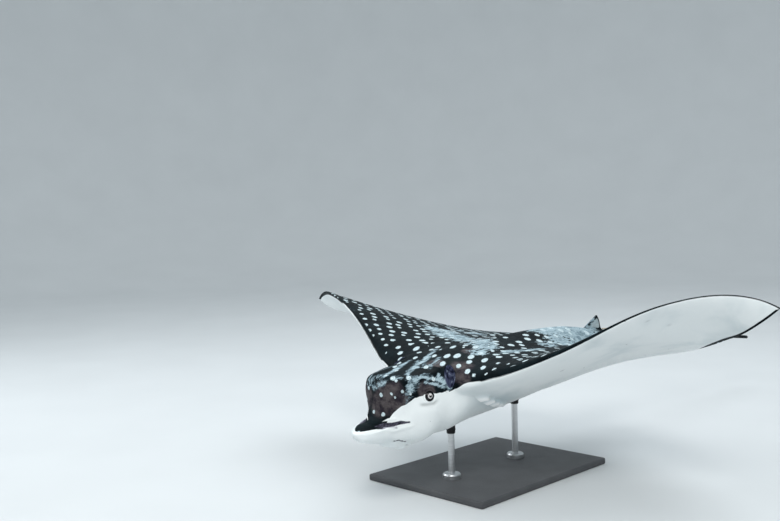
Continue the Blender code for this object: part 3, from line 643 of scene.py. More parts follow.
GROOVE = ((0.0375, 0.076, -0.0950), (0.0405, 0.084, -0.0945), (0.0430, 0.091, -0.0950),
          (0.0450, 0.099, -0.0960), (0.0465, 0.109, -0.0985), (0.0460, 0.120, -0.1020))
CHEEK_FLECK = (0.081, 0.155, -0.057)

# ---- how far the features stand up or sink in
BROW_HEIGHT, CHEEK_HEIGHT, TEMPLE_DEPTH, TEAR_DEPTH = 0.0045, 0.0022, 0.0022, 0.0018
NAPE_DEPTH, BACKBONE_HEIGHT = 0.0055, 0.0018
SLOT_DEPTH, SLIVER_HEIGHT, LIP_HEIGHT, RIM_HEIGHT = 0.0050, 0.0016, 0.0020, 0.0012
MOUTH_DEPTH, LIPS_HEIGHT, CURTAIN_HEIGHT = 0.0058, 0.0022, 0.0046
GROOVE_DEPTH, FOLD_HEIGHT, FOLD_STEP = 0.0030, 0.0007, 0.006
GILLS = 5
FLAP_HEIGHT, FLAP_SWEEP, SLIT_DEPTH, THROAT_HEIGHT = 0.0120, 0.0040, 0.0046, 0.0020
EDGE_DROOP = 0.0042     # how far the left wing's leading edge hangs at its lowest


def shape_head(skin, above):
    """Height of the brows, temples, cheeks, fold under the eye and midline, and the painted shade of that
    fold.
    """
    x, y, _ = skin.side.T
    brow, run = skin.near(0.013, BROW)
    height = BROW_HEIGHT * brow * in_middle(run, 0.12, 0.15)
    temple, run = skin.near(0.008, TEMPLE)
    height -= TEMPLE_DEPTH * temple * in_middle(run, 0.3, 0.3)
    height -= NAPE_DEPTH * hump(x, 0, 0.017) * ease((y - 0.072) / 0.03) * ease((0.30 - y) / 0.10) * above
    height += BACKBONE_HEIGHT * hump(x, 0, 0.012) * ease((y - 0.36) / 0.1) * ease((0.92 - y) / 0.08) * above
    cheek, run = skin.near(0.016, CHEEK)
    height += CHEEK_HEIGHT * cheek * in_middle(run, 0.25, 0.3)
    tear, run = skin.near(0.0035, TEAR)
    tear = tear * in_middle(run, 0.3, 0.3)
    return height - TEAR_DEPTH * tear, tear


def shape_bill(skin):
    """Height of the bill's slot, lips and rim, and the slot's and its upper fold's distances."""
    gap, run = skin.away(SLOT)
    narrow_ends = 0.0024 * ease((run - 0.72) / 0.28) + 0.0040 * (1 - ease(run / 0.12))
    slot = gap - 0.0066 + 0.0022 * ease(run / 0.8) + narrow_ends
    height = -SLOT_DEPTH * ease(-slot / 0.0040)
    gap, run = skin.away(SLIVER)
    sliver = gap - 0.0004 - 0.0032 * ease(run / 0.9)
    height += SLIVER_HEIGHT * ease(-sliver / 0.0020)
    lip, run = skin.near(0.0042, LIP)
    height += LIP_HEIGHT * lip * in_middle(run, 0.2, 0.2)
    rim, run = skin.near(0.0055, BILL_RIM)
    height += RIM_HEIGHT * rim * ease((1 - run) / 0.2)
    return height, slot, sliver


def shape_mouth(skin, below):
    """Height of the mouth, nasal curtain and folds, the mouth's painted shade and the groove's distance."""
    x, y, _ = skin.side.T
    mouth_y = 0.130 - 6.0 * x ** 2
    mouth = hump(y, mouth_y, 0.0028) * ease((0.039 - x) / 0.008) * below
    lips = hump(y, mouth_y - 0.0075, 0.0045) + hump(y, mouth_y + 0.0085, 0.0055)
    height = (LIPS_HEIGHT * lips * ease((0.050 - x) / 0.012)) * below - MOUTH_DEPTH * mouth
    curtain = ease((0.0385 - x) / 0.004) * ease((y - 0.074) / 0.018) * ease((mouth_y - 0.0035 - y) / 0.003)
    height += CURTAIN_HEIGHT * curtain * below
    gap, run = skin.away(GROOVE)
    groove = gap - 0.0024 * in_middle(run, 0.20, 0.20) + 0.0006
    height -= GROOVE_DEPTH * ease((0.0026 - gap) / 0.0026) * in_middle(run, 0.15, 0.15)
    corner = hump(x, 0.047, 0.010) * hump(y, mouth_y + 0.004, 0.016)
    height += FOLD_HEIGHT * np.cos(2 * np.pi * (y - mouth_y) / FOLD_STEP) * corner * below
    return height, mouth, groove


def shape_gills(skin, below):
    """Marks of the gills' slits and of the flaps in front of them."""
    x, y, _ = skin.side.T
    slits = np.zeros(len(x))
    flaps = np.zeros(len(x))
    for k in range(GILLS):
        middle_x = 0.121 - 0.0045 * k
        middle_y = 0.288 + (0.026 - 0.0012 * k) * k
        bend = middle_y + 0.45 * (x - middle_x) + 11.0 * (x - middle_x) ** 2
        inside = ease((0.0150 - 0.0012 * k - np.abs(x - middle_x)) / 0.006) * below
        slits += hump(y, bend, 0.0022) * inside
        flaps += (1 - 0.06 * k) * ease((bend - y) / 0.0015) * ease((y - bend + 0.019) / 0.014) * inside
    return slits, flaps


def sculpt(skin):
    """Raise and sink the skin; returns the marks that its features leave on it, among them painted shade in
    creases, round the gills and under the lip, and a painted highlight on the gill flaps.
    """
    x, y, _ = skin.side.T
    facing = skin.normals[:, 2]
    below = ease((-facing - 0.1) / 0.3)
    head, tear = shape_head(skin, ease((facing - 0.05) / 0.3))
    bill, slot, sliver = shape_bill(skin)
    jaw, mouth, groove = shape_mouth(skin, below)
    slits, flaps = shape_gills(skin, below)
    throat = hump(x, 0.114, 0.028) * hump(y, 0.345, 0.055) * below
    move = head + bill + jaw + FLAP_HEIGHT * flaps - SLIT_DEPTH * slits + THROAT_HEIGHT * throat
    skin.points = skin.points + skin.normals * move[:, None]
    skin.points[:, 1] += FLAP_SWEEP * flaps
    q = np.abs(skin.flat[:, 0])
    droop = hump(q, 0.34, 0.12) * ease((0.30 - chord_place(q, y)) / 0.30) * (skin.flat[:, 0] > 0.15)
    skin.points[:, 2] -= EDGE_DROOP * droop

    gap, run = skin.away(WHITE_RIM)
    white_rim = gap - 0.0058 + 0.0030 * ease(run / 0.8) * (skin.flat[:, 0] > 0)
    # streaked painted shade under the lip
    under_lip, run = skin.near(0.0058, UNDER_LIP)
    smoke = under_lip * in_middle(run, 0.25, 0.3)
    fleck = np.linalg.norm(skin.posed - CHEEK_FLECK, axis=1) - 0.0012
    # painted shade in the bill's slot and the groove, and the cheek's dark fleck
    line = np.clip(np.minimum(np.minimum(slot, groove), fleck), -0.02, 0.02)
    # painted shade in the mouth, the gills' slits and the fold under the eye
    crease = np.clip(1.1 * mouth + 0.35 * slits + 0.42 * tear, 0, 1)
    # painted shade: a grey cloud on the underside round the gills
    shade = np.clip(hump(x, 0.118, 0.034) * hump(y, 0.335, 0.070) * below, 0, 1)
    return {"shade": shade, "crease": crease, "bright": np.clip(flaps, 0, 1), "line": line, "smoke": smoke,
            "sliver": sliver, "white_rim": white_rim}


# ---------------------------------------------------------------- eyes' lids and spiracles
SPOKES = 96                              # points in each ring round an opening
LID_REACH = 0.0110                       # radius of the lids' edge, in whose units the rings are
LID_RINGS = (2.15, 2.0, 1.86, 1.74, 1.63, 1.53, 1.44, 1.36, 1.29, 1.23, 1.17, 1.12, 1.08, 1.045, 1.02, 1.0)
SPIRACLE_RINGS = (1.62, 1.5, 1.4, 1.31, 1.23, 1.16, 1.1, 1.05, 1.0)
# rings inside the spiracle: reach as a share of its rim, and depth
PIT_RINGS = ((0.95, 0.0010), (0.89, 0.0026), (0.83, 0.0044), (0.77, 0.0060), (0.69, 0.0075),
             (0.58, 0.0087), (0.44, 0.0096), (0.28, 0.0101), (0.12, 0.0103))
PIT_FLOOR = 0.0104
BALL_GAP = 0.0003                        # least gap between the lids and the ball
CUP_GAP = 0.00025                        # gap between the ball and its socket
SPIRACLE_ENDS = ((0.094, 0.208, 0.013), (0.074, 0.229, 0.057))   # lowest and highest place
SPIRACLE_HALF, SPIRACLE_SIDE = 0.0275, 0.0120                    # half its length and width


def unit(vector):
    """The vector at length 1."""
    return vector / np.linalg.norm(vector)


class Opening:
    """Rings of points that replace the skin round an opening, from the outside in."""

    def __init__(self, skin, centre, look, up, half_up, half_side):
        self.skin, self.tree, self.centre = skin, skin.tree, centre
        self.look = unit(look)
        self.up = unit(up - self.look * (up @ self.look))
        self.side = np.cross(self.look, self.up)
        self.half_up, self.half_side = half_up, half_side
        self.ring_step = min(half_up, half_side)
        self.angle = np.linspace(0, 2 * np.pi, SPOKES, endpoint=False)
        self.last = None

    def cut(self, reach):
        """Take away the faces within reach; keeps the hole's edge in order."""
        away = self.skin.points - self.centre
        wide = (reach - 1) * self.ring_step
        size = np.hypot(away @ self.up / (self.half_up + wide), away @ self.side / (self.half_side + wide))
        inside = (size < 1) & (np.abs(away @ self.look) < 0.03)
        gone = [face for face in self.skin.faces if inside[face].any()]
        self.skin.faces = [face for face in self.skin.faces if not inside[face].any()]
        edges = {(a, b) for face in gone for a, b in zip(face, face[1:] + face[:1])}
        after = {a: b for a, b in edges if (b, a) not in edges}
        loop = [next(iter(sorted(after)))]
        while after[loop[-1]] != loop[0]:
            loop.append(after[loop[-1]])
        self.last = loop

    def on_skin(self, reach, raised):
        """A ring that lies on the old skin, raised by a height for each spoke."""
        places = []
        wide = (reach - 1) * self.ring_step
        for angle, lift in zip(self.angle, np.broadcast_to(raised, SPOKES)):
            place = (self.centre + self.up * (math.cos(angle) * (self.half_up + wide))
                     + self.side * (math.sin(angle) * (self.half_side + wide)))
            hit = self.tree.ray_cast(Vector(place + 0.03 * self.look), Vector(-self.look))[0]
            places.append(np.array(hit) + lift * self.look)
        return np.array(places)

    def add(self, places, pit=0.0, crease=0.0):
        """Join a new ring to the one before it."""
        skin = self.skin
        first = len(skin.points)
        found = [skin.share_out(place) for place in places]
        skin.points = np.concatenate([skin.points, places])
        for name, values in skin.marks.items():
            mixed = [values[corners] @ shares for corners, shares in found]
            skin.marks[name] = np.concatenate([values, mixed])
        skin.marks["pit"][first:] = pit
        skin.marks["crease"][first:] = np.maximum(skin.marks["crease"][first:], crease)
        ring = list(range(first, first + len(places)))
        if len(places) == 1:
            skin.faces += [[a, b, first] for a, b in zip(self.last, self.last[1:] + self.last[:1])]
        elif len(self.last) == SPOKES and self.last[0] + SPOKES == first:
            turn = zip(self.last, self.last[1:] + self.last[:1], ring[1:] + ring[:1], ring)
            skin.faces += [list(corners) for corners in turn]
        else:
            self.stitch(ring)
        self.last = ring

    def stitch(self, ring):
        """Triangles between the hole's edge and the first ring."""
        away = self.skin.points[self.last] - self.centre
        turn = np.arctan2(away @ self.side / self.half_side, away @ self.up / self.half_up)
        start = int(np.argmin(np.abs(turn)))
        loop = self.last[start:] + self.last[:start]
        turn = np.unwrap(np.roll(turn, -start))
        turn = np.append(np.maximum.accumulate(turn), turn[0] + 2 * np.pi)
        ring_turn = np.append(self.angle, 2 * np.pi)
        i = j = 0
        while i < len(loop) or j < SPOKES:
            a, b = loop[i % len(loop)], ring[j % SPOKES]
            if j >= SPOKES or (i < len(loop) and turn[i + 1] <= ring_turn[j + 1]):
                i += 1
                self.skin.faces.append([a, loop[i % len(loop)], b])
            else:
                j += 1
                self.skin.faces.append([a, ring[j % SPOKES], b])


def set_lids(skin, ball):
    """Lids round one eye, and the socket behind the ball."""
    place = np.array(skin.tree.find_nearest(Vector(ball))[0])
    opening = Opening(skin, ball, place - ball, np.array([0, 0, 1.0]), LID_REACH, LID_REACH)
    opening.cut(LID_RINGS[0] * 1.05)
    upper = 0.5 + 0.5 * np.cos(opening.angle)
    for reach in LID_RINGS:     # from outside in: a fold, a groove and the thick edge of the lid
        lid = (0.0004 + 0.0010 * upper) * hump(reach, 1.06, 0.12)
        fold = (0.0004 + 0.0010 * upper) * hump(reach, 1.62, 0.14)
        groove = (0.0007 + 0.0007 * upper) * hump(reach, 1.32, 0.09)
        ring = opening.on_skin(reach, lid + fold - groove)
        height = (ring - ball) @ opening.look
        across = np.linalg.norm(ring - ball - height[:, None] * opening.look, axis=1)
        floor = np.sqrt(np.maximum(EYE_RADIUS ** 2 - across ** 2, 0)) + BALL_GAP
        ring += np.maximum(floor - height, 0)[:, None] * opening.look
        # painted shade where the lids' edge meets the ball
        opening.add(ring, crease=float(ease((1.115 - reach) / 0.05)))
    cup = EYE_RADIUS + CUP_GAP
    start = math.asin(LID_REACH / cup) * 0.985
    across_dirs = np.outer(np.cos(opening.angle), opening.up) + np.outer(np.sin(opening.angle), opening.side)
    # the socket behind the ball, in painted shade
    for polar in np.linspace(start, math.pi, 13)[:-1]:
        opening.add(ball + cup * (math.sin(polar) * across_dirs + math.cos(polar) * opening.look), crease=1.0)
    opening.add((ball - cup * opening.look)[None], crease=1.0)
    return opening


def set_spiracle(skin, hand):
    """The spiracle behind an eye: a raised rim, a pit that narrows, and a valve in its front wall."""
    low, high = (skin.twin(np.array(end), hand) for end in SPIRACLE_ENDS)
    centre = np.array(skin.tree.find_nearest(Vector(0.5 * (low + high)))[0])
    look = np.array(skin.tree.find_nearest(Vector(centre))[1])
    opening = Opening(skin, centre, look, high - low, SPIRACLE_HALF, SPIRACLE_SIDE)
    opening.cut(1.72)
    for reach in SPIRACLE_RINGS:
        lift = 0.0028 * hump(reach, 1.09, 0.17) * ease((SPIRACLE_RINGS[0] - reach) / 0.3)
        opening.add(opening.on_skin(reach, lift), pit=float(ease((1.06 - reach) / 0.08)))
    rim = skin.points[opening.last]
    middle = rim.mean(0)
    front = ease(0.2 - opening.side[1] * np.sin(opening.angle) * 1.4)
    for reach, depth in PIT_RINGS:
        valve = front * hump(reach, 0.66, 0.17)
        ring = middle + (rim - middle) * (reach * (1 - 0.30 * valve))[:, None]
        opening.add(ring - opening.look * (depth * (1 - 0.45 * valve))[:, None], pit=1.0)
    opening.add((middle - PIT_FLOOR * opening.look)[None], pit=1.0)


# ---------------------------------------------------------------- markings laid on the points
HEAD_SPOTS = (    # places on the head and shoulders, and each spot's half width
    (0.031, 0.088, 0.044, 0.0054), (0.042, 0.091, 0.038, 0.0038), (-0.030, 0.074, 0.017, 0.0045),
    (0.014, 0.070, 0.007, 0.0048), (0.038, 0.077, 0.011, 0.0034), (0.056, 0.094, 0.016, 0.0038),
    (0.052, 0.117, 0.040, 0.0056), (-0.008, 0.067, -0.031, 0.0042), (0.021, 0.069, -0.034, 0.0048),
    (0.005, 0.005, -0.064, 0.0036), (0.012, 0.088, 0.049, 0.0040), (0.003, 0.131, 0.057, 0.0046),
    (0.046, 0.081, 0.004, 0.0030), (0.072, 0.177, 0.034, 0.0052), (0.064, 0.112, 0.010, 0.0030),
    (0.057, 0.224, 0.062, 0.0062), (0.032, 0.268, 0.071, 0.0072), (0.050, 0.286, 0.070, 0.0076),
    (0.072, 0.308, 0.068, 0.0070), (0.093, 0.278, 0.061, 0.0064), (0.088, 0.246, 0.056, 0.0056),
    (0.118, 0.240, 0.048, 0.0064), (0.139, 0.238, 0.042, 0.0046), (0.145, 0.267, 0.056, 0.0062),
    (0.116, 0.308, 0.064, 0.0068), (0.000, 0.262, 0.071, 0.0056), (0.042, 0.189, 0.057, 0.0056),
    (-0.055, 0.311, 0.073, 0.0058), (-0.060, 0.275, 0.071, 0.0060), (-0.013, 0.342, 0.080, 0.0068),
    (0.034, 0.374, 0.080, 0.0070), (0.178, 0.263, 0.057, 0.0050), (0.168, 0.248, 0.047, 0.0036),
    (-0.045, 0.190, 0.055, 0.0052), (-0.020, 0.150, 0.058, 0.0050), (0.012, 0.200, 0.066, 0.0048),
    (-0.050, 0.120, 0.042, 0.0050), (-0.088, 0.235, 0.056, 0.0060), (-0.112, 0.262, 0.060, 0.0062),
    (-0.075, 0.185, 0.030, 0.0048), (-0.095, 0.300, 0.068, 0.0070), (-0.140, 0.285, 0.070, 0.0060),
    (-0.052, 0.092, 0.020, 0.0042), (-0.045, 0.082, -0.010, 0.0040), (0.072, 0.345, 0.074, 0.0064),
    (0.158, 0.300, 0.064, 0.0052), (-0.062, 0.345, 0.077, 0.0062), (-0.030, 0.228, 0.068, 0.0054))
PALE_PATCHES = (    # (x, y, reach across, reach back, strength) on the flat back
    (-0.225, 0.520, 0.060, 0.050, 1.15), (-0.150, 0.480, 0.075, 0.045, 1.25),
    (-0.085, 0.465, 0.055, 0.045, 1.10), (-0.030, 0.450, 0.045, 0.040, 1.10),
    (0.010, 0.415, 0.045, 0.042, 1.15), (0.050, 0.400, 0.040, 0.040, 1.10),
    (0.075, 0.350, 0.030, 0.026, 0.95), (-0.170, 0.600, 0.070, 0.040, 0.80),
    (-0.240, 0.600, 0.050, 0.040, 0.70), (0.006, 0.700, 0.055, 0.075, 1.70),
    (0.022, 0.790, 0.065, 0.085, 1.90), (0.075, 0.690, 0.040, 0.060, 1.40),
    (-0.060, 0.740, 0.065, 0.080, 1.30), (0.120, 0.420, 0.022, 0.040, 0.95),
    (0.135, 0.485, 0.018, 0.060, 1.00), (0.100, 0.590, 0.026, 0.040, 1.00),
    (0.025, 0.860, 0.050, 0.060, 1.60), (-0.015, 0.915, 0.035, 0.035, 1.30),
    (-0.080, 0.620, 0.050, 0.045, 0.80), (0.230, 0.560, 0.060, 0.050, 0.40))
HEAD_STREAKS = (    # width and strength of each pale streak of the head, and the places it passes
    (0.006, 0.95, (-0.030, 0.211, 0.063), (-0.018, 0.170, 0.060), (-0.007, 0.137, 0.058),
     (0.006, 0.101, 0.054)),
    (0.010, 0.85, (0.006, 0.101, 0.054), (0.008, 0.086, 0.047), (-0.010, 0.077, 0.042),
     (-0.028, 0.074, 0.031)),
    (0.004, 1.00, (-0.030, 0.150, 0.055), (-0.034, 0.110, 0.048), (-0.035, 0.086, 0.037),
     (-0.034, 0.078, 0.025)),
    (0.007, 0.85, (0.022, 0.076, 0.036), (0.006, 0.071, 0.030), (-0.010, 0.070, 0.020)),
    (0.007, 0.95, (-0.049, 0.323, 0.074), (-0.020, 0.276, 0.072), (-0.005, 0.235, 0.067),
     (0.006, 0.203, 0.063)),
    (0.010, 1.00, (0.000, 0.220, 0.065), (0.010, 0.194, 0.062), (0.027, 0.167, 0.058)),
    (0.006, 0.95, (0.027, 0.167, 0.058), (0.036, 0.141, 0.054), (0.042, 0.124, 0.049)),
    (0.010, 0.80, (0.026, 0.196, 0.062), (0.042, 0.184, 0.056)),
    (0.007, 0.90, (0.070, 0.173, 0.037), (0.064, 0.160, 0.040), (0.061, 0.143, 0.039),
     (0.061, 0.130, 0.033)),
    (0.012, 1.05, (0.061, 0.132, 0.034), (0.060, 0.117, 0.026), (0.061, 0.108, 0.014)),
    (0.007, 0.75, (0.062, 0.108, 0.012), (0.063, 0.108, 0.002), (0.060, 0.102, -0.004)),
    (0.0042, 1.10, (0.060, 0.147, 0.041), (0.069, 0.164, 0.035), (0.074, 0.181, 0.033),
     (0.080, 0.192, 0.026), (0.084, 0.200, 0.019), (0.090, 0.207, 0.012)),
    (0.0036, 1.00, (0.071, 0.152, 0.029), (0.075, 0.167, 0.026), (0.080, 0.181, 0.021),
     (0.086, 0.197, 0.012)),
    (0.006, 0.90, (0.074, 0.194, 0.036), (0.080, 0.200, 0.026), (0.086, 0.204, 0.016)),
    (0.008, 0.80, (0.053, 0.117, 0.039), (0.045, 0.105, 0.040), (0.036, 0.092, 0.042)),
    (0.009, 0.75, (0.050, 0.188, 0.054), (0.038, 0.225, 0.066), (0.030, 0.250, 0.069)))
BROWN_PLACES = (    # brown skin: places and reach
    (0.010, 0.070, -0.012, 0.030), (0.036, 0.077, -0.010, 0.030), (-0.040, 0.077, 0.000, 0.028),
    (0.054, 0.090, 0.000, 0.022), (0.096, 0.250, 0.056, 0.026), (0.045, 0.218, 0.064, 0.022),
    (0.112, 0.223, 0.034, 0.022), (0.045, 0.335, 0.077, 0.020), (0.074, 0.150, 0.012, 0.023),
    (0.045, 0.082, 0.022, 0.020), (0.018, 0.072, 0.018, 0.022))
BELLY_FLECKS = (    # small grey flecks under the left wing: places and reach
    (0.488, 0.477, 0.153, 0.0022), (0.468, 0.423, 0.167, 0.0020), (0.496, 0.567, 0.119, 0.0020),
    (0.277, 0.367, 0.052, 0.0022), (0.271, 0.390, 0.045, 0.0022), (0.262, 0.415, 0.037, 0.0018),
    (0.328, 0.616, 0.056, 0.0018))
FLECK_SHARE = 0.38                           # how dark the flecks are
SPOT_WAY = np.array([-0.45, 0.89, 0.0])      # spots on the flat of the back are drawn out this way,
SPOT_STRETCH, LARGE_STRETCH = 0.48, 0.62     # by this share, and by this one where they are large
LARGE_SPOT = 0.0065
CLEAR_REACH, CLEAR_FADE = 0.020, 0.012       # round the placed spots, there are no lattice spots
FIN_LINE = 0.0056                            # width of the dark line round the pale fin


def mark_spots(skin):
    """Distance from the edge of the nearest placed spot, and where there is room for lattice spots."""
    spot = np.full(len(skin.flat), 0.05)
    clear = np.full(len(skin.flat), 1.0)
    for *place, half_width in HEAD_SPOTS:
        middle = skin.nearest(place)
        away = skin.posed - skin.posed[middle]
        stretch = LARGE_STRETCH if half_width > LARGE_SPOT else SPOT_STRETCH
        stretch = stretch * ease((skin.normals[middle, 2] - 0.5) / 0.4)
        away = away - np.outer(away @ SPOT_WAY, SPOT_WAY) * stretch
        gap = np.linalg.norm(away, axis=1)
        spot = np.minimum(spot, gap - half_width)
        clear = np.minimum(clear, ease((gap - CLEAR_REACH) / CLEAR_FADE))
    return spot, clear


def mark_fin(skin):
    """How far inside the dorsal fin's dark line a point lies; below zero on the line and off the fin."""
    x, y, z = skin.flat.T
    stands = z - back_z(y)
    tall = np.array([fin_height(k) for k in y])
    on_fin = (np.abs(x) < 3 * FIN_HALF) & (tall > 0.004) & (stands > 0.004)
    high = np.clip(stands / FIN_HEIGHT, 0, 1)
    behind = FIN_REAR - (FIN_REAR - FIN_APEX) * high ** (1 / FIN_DROP) - y
    inside = np.minimum(0.62 * (tall - stands), np.minimum(behind, 0.7 * (y - FIN_FRONT - 0.026)))
    return np.where(on_fin, inside - FIN_LINE, -0.02)


def mark(skin, sculpted):
    """Give each point what its paint needs to know."""
    x, y, z = skin.flat.T
    out, back, depth = skin.lie.T
    spot, clear = mark_spots(skin)
    pale, brown, haze = np.zeros((3, len(x)))
    for middle_x, middle_y, reach_x, reach_y, strength in PALE_PATCHES:
        pale = np.maximum(pale, strength * hump(x, middle_x, reach_x) * hump(y, middle_y, reach_y))
    for *place, reach in BROWN_PLACES:
        brown = np.maximum(brown, skin.beside(place, reach))
    for width, strength, *places in HEAD_STREAKS:
        path = np.array([skin.posed[skin.nearest(place)] for place in places])
        haze = np.maximum(haze, strength * near_path(skin.posed, path, 1.3 * width)[0])
    crease = sculpted.pop("crease")
    # the belly's grey flecks join the painted shade of the creases
    for *place, reach in BELLY_FLECKS:
        crease = np.maximum(crease, FLECK_SHARE * skin.beside(place, reach))
    lattice = clear * ease((back - 0.235) / 0.02) * ease((0.90 - y) / 0.03)
    lattice = lattice * (1 - 0.5 * hump(x, 0.05, 0.26) * ease((y - 0.40) / 0.1))
    depth = depth + 0.0085 * skin.near(0.013, SHOULDER)[0]
    depth = np.minimum(depth, np.minimum(sculpted.pop("sliver"), sculpted.pop("white_rim")))
    skin.marks = {"flat_x": x, "flat_y": y, "flat_z": z, "out": out, "back": back, "depth": depth,
                  "haze": haze, "pit": np.zeros(len(x)), "crease": crease, "pale": pale, "brown": brown,
                  "spot": spot, "lattice": lattice, "fin": mark_fin(skin), **sculpted}
    skin.marks = {name: np.array(values, float) for name, values in skin.marks.items()}


# the marks go to the paint three at a time, as one vector attribute each
VECTORS = {"flat": ("flat_x", "flat_y", "flat_z"), "lie": ("out", "back", "depth"),
           "marks": ("pit", "crease", "bright"), "tint": ("pale", "brown", "spot"),
           "extra": ("lattice", "fin", "line"), "soft": ("smoke", "haze", "shade")}
PLACE = np.array([0, -BASE_BACK, LIFT])


def make_object(name, points, faces, material):
    """A smooth-shaded object of one material, in world places."""
    mesh = bpy.data.meshes.new(name)
    mesh.from_pydata(points.tolist(), [], faces)
    mesh.shade_smooth()
    mesh.materials.append(material)
    obj = bpy.data.objects.new(name, mesh)
    bpy.context.scene.collection.objects.link(obj)
    return obj


def store(obj, name, values):
    """Keep three numbers for each point, where the paint can read them."""
    attribute = obj.data.attributes.new(name, "FLOAT_VECTOR", "POINT")
    attribute.data.foreach_set("vector", values.astype(np.float32).ravel())


def build_skin(material):
    """The whole skin as one object; returns it and the balls' places and looks."""
    skin = Skin()
    mark(skin, sculpt(skin))
    skin.freeze()
    balls = {}
    for name, hand in (("eye_left", 1), ("eye_right", -1)):
        low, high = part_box(name)
        ball = 0.5 * (np.array(low) + np.array(high)) - PLACE
        balls[name] = (ball, set_lids(skin, ball))
        set_spiracle(skin, hand)
    used = sorted({k for face in skin.faces for k in face})
    renumber = np.zeros(len(skin.points), int)
    renumber[used] = np.arange(len(used))
    faces = [renumber[face].tolist() for face in skin.faces]
    obj = make_object("ray_skin_body", skin.points[used] + PLACE, faces, material)
    for name, parts in VECTORS.items():
        store(obj, name, np.stack([skin.marks[part][used] for part in parts], 1))
    return obj, balls


# ---------------------------------------------------------------- paint
class Paint:
    """One material, with short names for its shader nodes."""

    def __init__(self, name, **sockets):
        self.material = bpy.data.materials.new(name)
        self.material.use_nodes = True
        self.tree = self.material.node_tree
        self.shader = self.tree.nodes["Principled BSDF"]
        for socket, value in sockets.items():
            self.feed(self.shader.inputs[socket.replace("_", " ")], value)

    def feed(self, socket, value):
        """Link another node's output to a socket, or set a value on it."""
        if isinstance(value, bpy.types.NodeSocket):
            self.tree.links.new(value, socket)
        elif socket.type == "RGBA":
            socket.default_value = (*value, 1.0)
        else:
            socket.default_value = value

    def node(self, kind, inputs=(), **settings):
        """A new shader node with its inputs fed and its settings set."""
        made = self.tree.nodes.new(kind)
        for name, value in settings.items():
            setattr(made, name, value)
        for socket, value in dict(inputs).items():
            self.feed(made.inputs[socket], value)
        return made

    def math(self, operation, *values):
        return self.node("ShaderNodeMath", enumerate(values), operation=operation).outputs[0]

    def add(self, *values):
        total = values[0]
        for value in values[1:]:
            total = self.math("ADD", total, value)
        return total

    def times(self, *values):
        total = values[0]
        for value in values[1:]:
            total = self.math("MULTIPLY", total, value)
        return total

    def swing(self, noise, amount):
        """A noise moved to swing round zero, times an amount."""
        return self.times(self.add(noise, -0.5), amount)

    def step(self, value, low, high, start=0.0, end=1.0):
        """Goes smoothly from start to end as value goes from low to high."""
        inputs = {"Value": value, "From Min": low, "From Max": high, "To Min": start, "To Max": end}
        return self.node("ShaderNodeMapRange", inputs, interpolation_type="SMOOTHSTEP").outputs[0]

    def mix(self, share, one, two):
        """Colour one where share is 0, colour two where it is 1."""
        return self.node("ShaderNodeMix", {0: share, 6: one, 7: two}, data_type="RGBA").outputs[2]

    def blend(self, value, low, high, one, two, most=1.0):
        """Colour one up to low, turning into colour two, at most by a share, at high."""
        return self.mix(self.step(value, low, high, 0.0, most), one, two)

    def vector(self, name):
        """Three numbers kept for each point under a name."""
        return self.node("ShaderNodeAttribute", attribute_name=name).outputs["Vector"]

    def place(self):
        """Where a point lies on its object."""
        return self.node("ShaderNodeTexCoord").outputs["Object"]

    def split(self, vector):
        return self.node("ShaderNodeSeparateXYZ", {0: vector}).outputs

    def join(self, *values):
        return self.node("ShaderNodeCombineXYZ", enumerate(values)).outputs[0]

    def scaled(self, vector, factors):
        return self.node("ShaderNodeVectorMath", {0: vector, 1: factors}, operation="MULTIPLY").outputs[0]

    def length(self, one, two, flatten=1.0):
        """Length of the two sides' diagonal, the first side's square times a factor."""
        return self.math("SQRT", self.add(self.times(one, one, flatten), self.times(two, two)))

    def noise(self, where, scale, detail=2.0, roughness=0.5, distortion=0.0):
        inputs = {"Vector": where, "Scale": scale, "Detail": detail, "Roughness": roughness,
                  "Distortion": distortion}
        return self.node("ShaderNodeTexNoise", inputs).outputs[0]

    def cells(self, where, step, randomness):
        """Distance from the nearest of a field of points, and that point's own random colour."""
        inputs = {"Vector": where, "Scale": 1 / step, "Randomness": randomness}
        return self.node("ShaderNodeTexVoronoi", inputs, voronoi_dimensions="2D", feature="F1").outputs[:2]

    def bump(self, height, distance, strength=1.0):
        """Fine relief from a height field."""
        inputs = {"Height": height, "Distance": distance, "Strength": strength}
        self.feed(self.shader.inputs["Normal"], self.node("ShaderNodeBump", inputs).outputs[0])

    def coat(self, colour, roughness):
        """Colour and roughness of the surface."""
        self.feed(self.shader.inputs["Base Color"], colour)
        self.feed(self.shader.inputs["Roughness"], roughness)


BACK_DARK = (0.0018, 0.0046, 0.0062)
BACK_LIFT = (0.0055, 0.0125, 0.0155)
FACE_DARK = (0.018, 0.015, 0.021)
FACE_GREY = (0.085, 0.074, 0.076)
PALE_BLUE = (0.17, 0.24, 0.28)
PALE_LIGHT = (0.38, 0.49, 0.54)
SPOT_WHITE = (0.70, 0.79, 0.80)
BELLY_WHITE = (0.84, 0.87, 0.87)
# grey of the belly's clouds and of the painted shade round the gills
BELLY_SHADE_GREY = (0.46, 0.55, 0.58)
PIT_BLUE = (0.060, 0.070, 0.125)
# painted shade in the spiracle's lining
PIT_SHADE = (0.010, 0.012, 0.028)
# grey of the painted shade in creases, and of the belly's freckles
SHADE_AND_FRECKLE_GREY = (0.014, 0.015, 0.022)
# painted shade of the slot and groove, and the colour of the cheek's fleck
SHADE_AND_FLECK_DARK, SHADE_AND_FLECK_GREY = (0.022, 0.021, 0.032), (0.110, 0.105, 0.145)
# grey of the painted shade under the lip
LIP_SHADE_GREY = (0.200, 0.190, 0.250)
# white of the gill flaps, lighter than the belly as a painted highlight
GILL_WHITE_HIGHLIGHT = (0.93, 0.94, 0.94)
# painted highlights inside the spiracle
PIT_HIGHLIGHT = (0.26, 0.31, 0.38)
SPOT_STEP, ROW_TURN, ROW_CHANCE = 0.0322, 0.62, 0.42     # spacing, slant and disorder of the spots' rows
FRECKLE_STEP = 0.070


